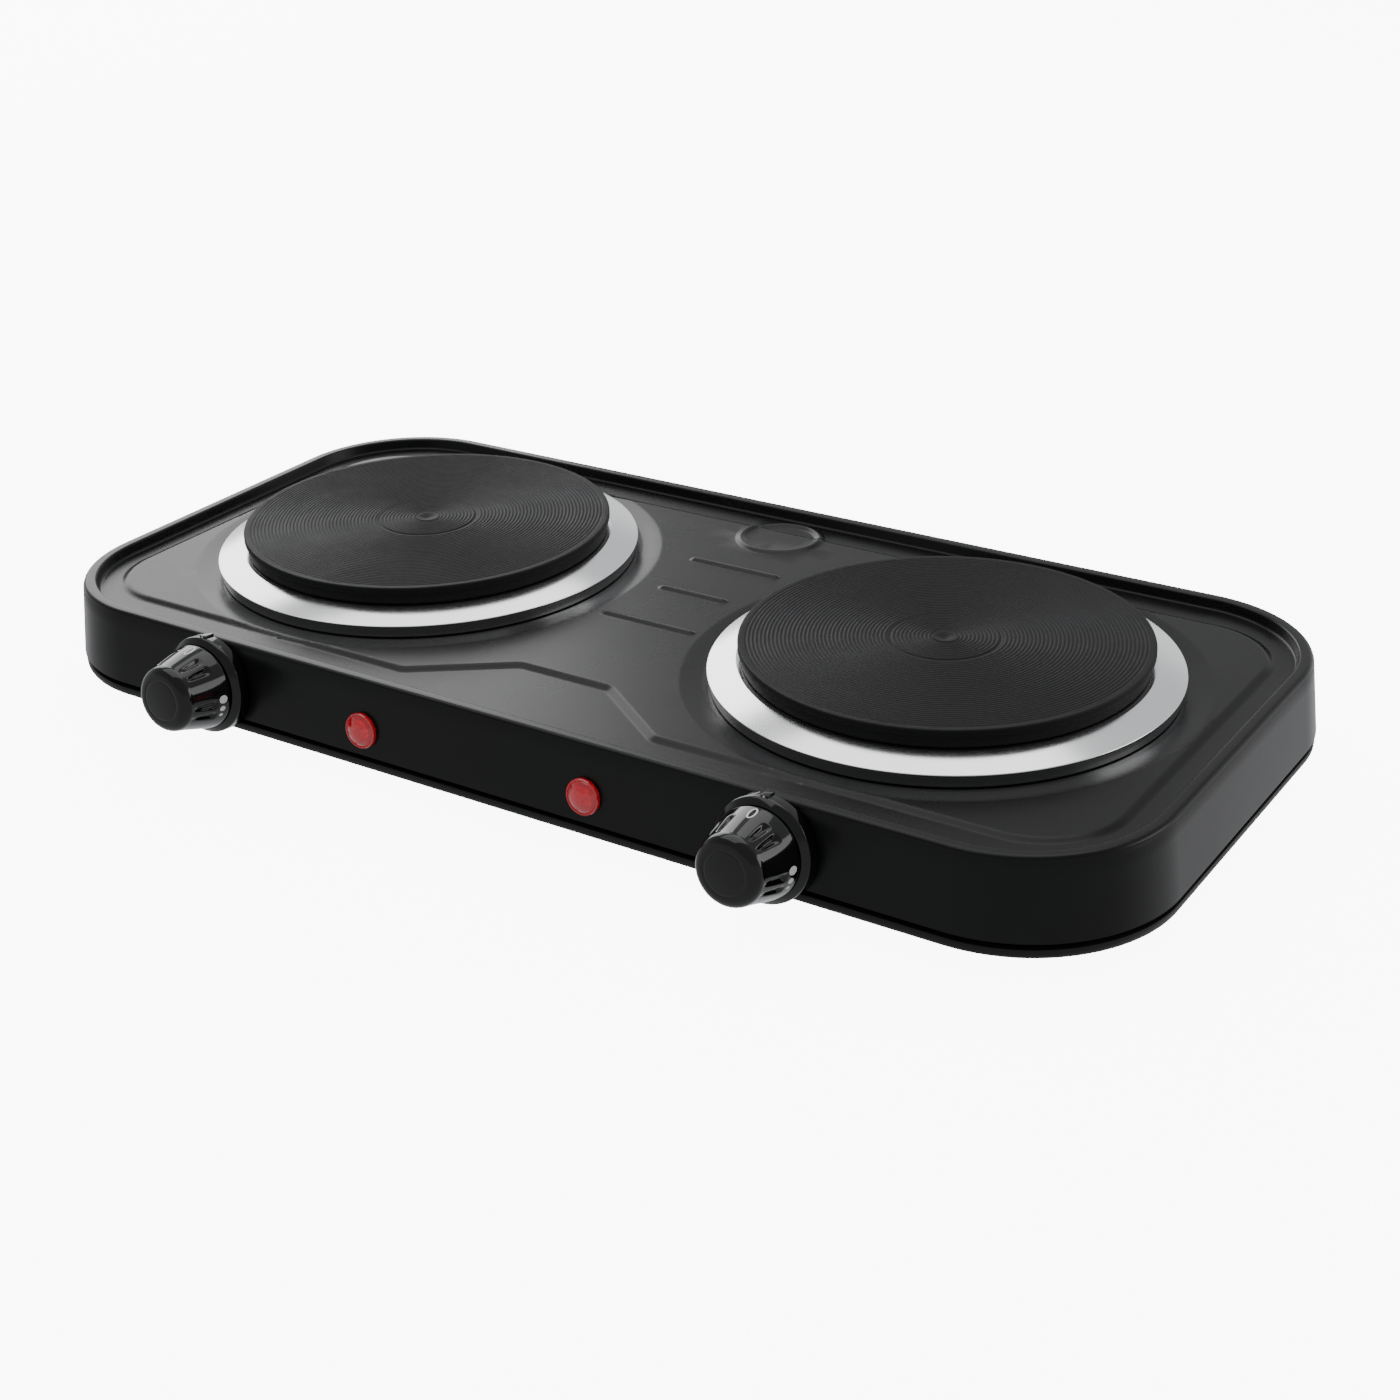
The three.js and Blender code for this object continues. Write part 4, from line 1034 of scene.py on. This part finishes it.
# ---- Base pan ----
# A shallow pressed tray closes the underside: black-painted sheet, its lip just short of the housing's edge,
# an inner wall that locates it, a panel pressed in for stiffness, and vent slots beneath each plate.
PAN_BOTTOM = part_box("base_pan")[0].z
PAN_LIP = 4.6
CORNERS = ["front_left", "front_right", "rear_left", "rear_right"]
VENT_LENGTH = 54 * MM
VENT_WIDTH = 5 * MM
VENT_ROWS = 5
VENT_PITCH = 13 * MM
FOOT_HOLE = 3.5 * MM
PAN_SCREW_HOLE = 2.3 * MM


def capped(rings):
    """A skin whose first and last rings are closed by a face."""
    vertices, faces = skin(rings)
    count, end = len(rings[0]), len(vertices)
    return vertices, faces + [tuple(reversed(range(count))), tuple(range(end - count, end))]


def tray_shape():
    """The tray, over outlines given by inset and height, from its inside centre round to its top."""
    rim_x, rim_y, corner = RIM_HALF_X / MM, RIM_HALF_Y / MM, RIM_CORNER / MM
    bottom = PAN_BOTTOM / MM
    lip = bottom + PAN_LIP
    rows = [
        (62, bottom + 0.7), (60, bottom + 0.6), (57.5, bottom + 0.1), (56, bottom), (0, bottom),
        (-1.2, bottom + 0.25), (-2.5, bottom + 1.1), (-3.1, bottom + 2.2), (-3.2, lip - 0.5),
        (-3.05, lip - 0.12), (-2.7, lip), (1.1, lip), (1.4, lip + 0.1), (1.5, lip + 0.4), (1.5, lip + 3.7),
        (1.7, lip + 4), (2.5, lip + 4), (2.7, lip + 3.7), (2.7, bottom + 1.8), (3.3, bottom + 1.2),
        (54.8, bottom + 1.2), (56.3, bottom + 1.3), (58.8, bottom + 1.8), (60.8, bottom + 1.9),
    ]
    rings = []
    for inset, z in rows:
        edge = corner - inset if inset < 30 else 22 - (inset - 56) * 0.8
        outline = rounded_outline((rim_x - inset) * MM, (rim_y - inset) * MM, edge * MM)
        rings.append([(x, y + BODY_Y, z * MM) for x, y in outline])
    return capped(rings)


def slot_rows(material):
    """Repeats one vent slot in rows beneath each plate."""
    tree, sizes, outlets = node_tree("slot_rows", ["rows", "pitch"])
    to_first = multiply(tree, subtract(tree, sizes["rows"], 1.0), -0.5)
    first = multiply(tree, to_first, sizes["pitch"])
    join = tree.nodes.new("GeometryNodeJoinGeometry")
    for x in PLATE_X.values():
        start = joined(tree, x, add(tree, first, PLATE_Y), 0)
        step = joined(tree, 0, sizes["pitch"], 0)
        line = tree.nodes.new("GeometryNodeMeshLine")
        tree.links.new(sizes["rows"], line.inputs["Count"])
        tree.links.new(start, line.inputs["Start Location"])
        tree.links.new(step, line.inputs["Offset"])
        spread = tree.nodes.new("GeometryNodeInstanceOnPoints")
        tree.links.new(line.outputs[0], spread.inputs["Points"])
        tree.links.new(sizes["Geometry"], spread.inputs["Instance"])
        tree.links.new(spread.outputs[0], join.inputs[0])
    finish_tree(tree, join.outputs[0], outlets["Geometry"], material)
    return tree


def slot_shape(length, width, low, high):
    outline = rounded_outline(length / 2, width / 2, width / 2 - 1e-6, 8)
    return capped([[(x, y, z) for x, y in outline] for z in (low, high)])


pan_paint = enamel("pan_paint", (0.01, 0.01, 0.0105), 0.42, 700, 0.05 * MM)
pan = make_object("bottom_pan", *tray_shape(), pan_paint)
slot = slot_shape(VENT_LENGTH, VENT_WIDTH, PAN_BOTTOM - 1 * MM, PAN_BOTTOM + 3 * MM)
slot_cutter = make_object("slot_cutter", *slot, pan_paint)
run_tree(slot_cutter, slot_rows(pan_paint), {"rows": VENT_ROWS, "pitch": VENT_PITCH})
boolean(pan, slot_cutter, "DIFFERENCE")
hole_sizes = {f"foot_{corner}": FOOT_HOLE for corner in CORNERS}
hole_sizes.update({f"base_screw_{corner}": PAN_SCREW_HOLE for corner in CORNERS})
hole_sizes["earth_screw"] = PAN_SCREW_HOLE
pan_holes = []
for node, radius in hole_sizes.items():
    middle = middle_of(node)
    pan_holes.append((Matrix.Translation((middle.x, middle.y, PAN_BOTTOM)), radius))
boolean(pan, round_cutter("pan_holes", pan_holes, 32), "DIFFERENCE")
smooth(pan, 40)
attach(pan, "body")
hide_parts("base_pan")

# ---- Feet and base screws ----
# Four moulded rubber feet are pulled through holes in the pan by a barbed neck, and four zinc-plated screws
# with crossed slots hold the pan to tabs in the housing.


def at_points(material, seed):
    """Puts a piece's copies at the points of a mesh, each turned by chance as far as the wobble allows."""
    tree, sizes, outlets = node_tree("at_points", ["wobble"])
    info = tree.nodes.new("GeometryNodeObjectInfo")
    spin = tree.nodes.new("FunctionNodeRandomValue")
    spin.inputs["Seed"].default_value = seed
    tree.links.new(sizes["wobble"], spin.inputs[3])
    turn = joined(tree, 0, 0, spin.outputs[1])
    spread = tree.nodes.new("GeometryNodeInstanceOnPoints")
    tree.links.new(sizes["Geometry"], spread.inputs["Points"])
    tree.links.new(info.outputs["Geometry"], spread.inputs["Instance"])
    tree.links.new(turn, spread.inputs["Rotation"])
    finish_tree(tree, spread.outputs[0], outlets["Geometry"], material)
    return tree, info


def copies(name, pattern, middles, material, seed, wobble):
    """Four real copies of a pattern piece as one plain mesh; the pattern itself is removed."""
    piece = make_object(name, [(m.x, m.y, 0) for m in middles], [], material)
    tree, info = at_points(material, seed)
    info.inputs["Object"].default_value = pattern
    run_tree(piece, tree, {"wobble": wobble})
    bpy.data.objects.remove(pattern)
    smooth(piece, 35)
    return piece


FOOT_PROFILE = [
    (0, 3, 0), (4, 3, 0.4), (4, 0, 0.5), (8.4, 0, 0.8), (9.5, 1.6, 0.8), (9.1, 4, 0), (8.8, 4.3, 0),
    (8.8, 5, 0), (9, 5.3, 0), (8.5, 7.7, 0.5), (3, 7.7, 0.2), (3, 9.5, 0.1), (4.8, 9.5, 0.3),
    (2.6, 13.5, 0.6), (0, 13.5, 0),
]
SCREW_PROFILE = [
    (0, 5.4, 0), (2.6, 5.4, 1.0), (3.8, 6.6, 0.7), (3.8, 7.7, 0.2), (1.8, 7.7, 0.2), (1.8, 20, 0),
    (0.8, 21.5, 0), (0, 21.5, 0),
]
soft_rubber = enamel("soft_rubber", (0.014, 0.014, 0.014), 0.75, 1200, 0.06 * MM)
zinc = polished("zinc_plate", (0.6, 0.6, 0.59), 0.28, 0, 0)
foot = make_object("foot_pattern", *lathe(rounded(FOOT_PROFILE), 48, upright(0, 0)), soft_rubber)
feet = copies("rubber_feet", foot, [middle_of(f"foot_{c}") for c in CORNERS], soft_rubber, 3, 0)
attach(feet, "body")
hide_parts(*[f"foot_{c}" for c in CORNERS])

screw = make_object("screw_pattern", *lathe(rounded(SCREW_PROFILE), 40, upright(0, 0)), zinc)
for size in ((4.2 * MM, 0.9 * MM, 2.2 * MM), (0.9 * MM, 4.2 * MM, 2.2 * MM)):
    cross = bevelled_block(size, (0, 0, 5.2 * MM), 0.1 * MM)
    boolean(screw, make_object("cross_cutter", *cross, zinc), "DIFFERENCE")
screws = copies("pan_screws", screw, [middle_of(f"base_screw_{c}") for c in CORNERS], zinc, 7, math.pi)
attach(screws, "body")
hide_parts(*[f"base_screw_{c}" for c in CORNERS])

# ---- Cord bush ----
# A black rubber bush snapped into the back wall, where the supply cord passes: a flange outside, a barb
# inside, and a ribbed nose that lets the cord bend.
BUSH_PROFILE = [
    (4.2, -6.5, 0.3), (6.6, -6.5, 0.4), (8.2, -1.5, 0.3), (6.6, -1.5, 0.1), (6.6, 0.3, 0.1), (9, 0.3, 0.3),
    (9, 2.3, 0.7), (6.8, 3.2, 0.3), (6.7, 4.2, 0.2), (5.9, 4.4, 0.2), (5.9, 5.0, 0.2), (6.5, 5.2, 0.2),
    (6.4, 6.2, 0.2), (5.7, 6.4, 0.2), (5.7, 7.0, 0.2), (6.2, 7.2, 0.2), (6.0, 9, 0.5), (4.2, 9, 0.3),
]
turned_out = Matrix.Rotation(math.pi, 4, "Z")
bush_parts = lathe(rounded(BUSH_PROFILE), 72, GLAND_PLACE @ turned_out, wrap=True)
bush = make_object("cord_bush", *bush_parts, soft_rubber, 35)
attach(bush, "body")
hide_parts("cord_gland")

# ---- Parts inside ----
# The controls, leads, terminals, straps and nuts inside the shell keep their plain shapes. Each takes the
# finish of what it is made from: zinc-plated steel, steatite, brass, glass or a coloured heat-proof sleeve.


def paint(material, *nodes):
    for node in nodes:
        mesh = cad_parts[node].data
        mesh.materials.clear()
        mesh.materials.append(material)


steatite = enamel("steatite", (0.62, 0.58, 0.5), 0.62, 500, 0.08 * MM)
brass = polished("bright_brass", (0.62, 0.42, 0.16), 0.22, 0, 0)
rolled_alloy = polished("rolled_bimetal", (0.36, 0.33, 0.28), 0.3, 0, 0)
bulb_glass = gloss_plastic("bulb_glass", (0.85, 0.72, 0.64), 0.04)
set_inputs(nodes_of(bulb_glass)[1], Transmission_Weight=0.8)
SLEEVE_COAT = 0.55, 900, 0.05 * MM
live_sleeve = enamel("live_sleeve", (0.16, 0.055, 0.02), *SLEEVE_COAT)
neutral_sleeve = enamel("neutral_sleeve", (0.03, 0.08, 0.32), *SLEEVE_COAT)
earth_sleeve = enamel("earth_sleeve", (0.2, 0.36, 0.03), *SLEEVE_COAT)
for side in PLATE_X:
    steel_names = ["plate_cover", "clamp_strap", "plate_nut", "control_shaft", "thermostat_frame"]
    steel_names += ["control_screw_a", "control_screw_b", "lamp_clip"]
    paint(zinc, *[f"{side}_{name}" for name in steel_names])
    paint(steatite, f"{side}_plate_terminal", f"{side}_insulator_stack")
    paint(brass, f"{side}_contact_leaf")
    paint(rolled_alloy, f"{side}_bimetal_strip")
    paint(bulb_glass, f"{side}_neon_bulb")
    paint(live_sleeve, f"{side}_live_lead", f"{side}_plate_lead")
    paint(neutral_sleeve, f"{side}_neutral_lead")
paint(steatite, "terminal_block")
paint(brass, "earth_screw")
paint(earth_sleeve, "earth_lead")
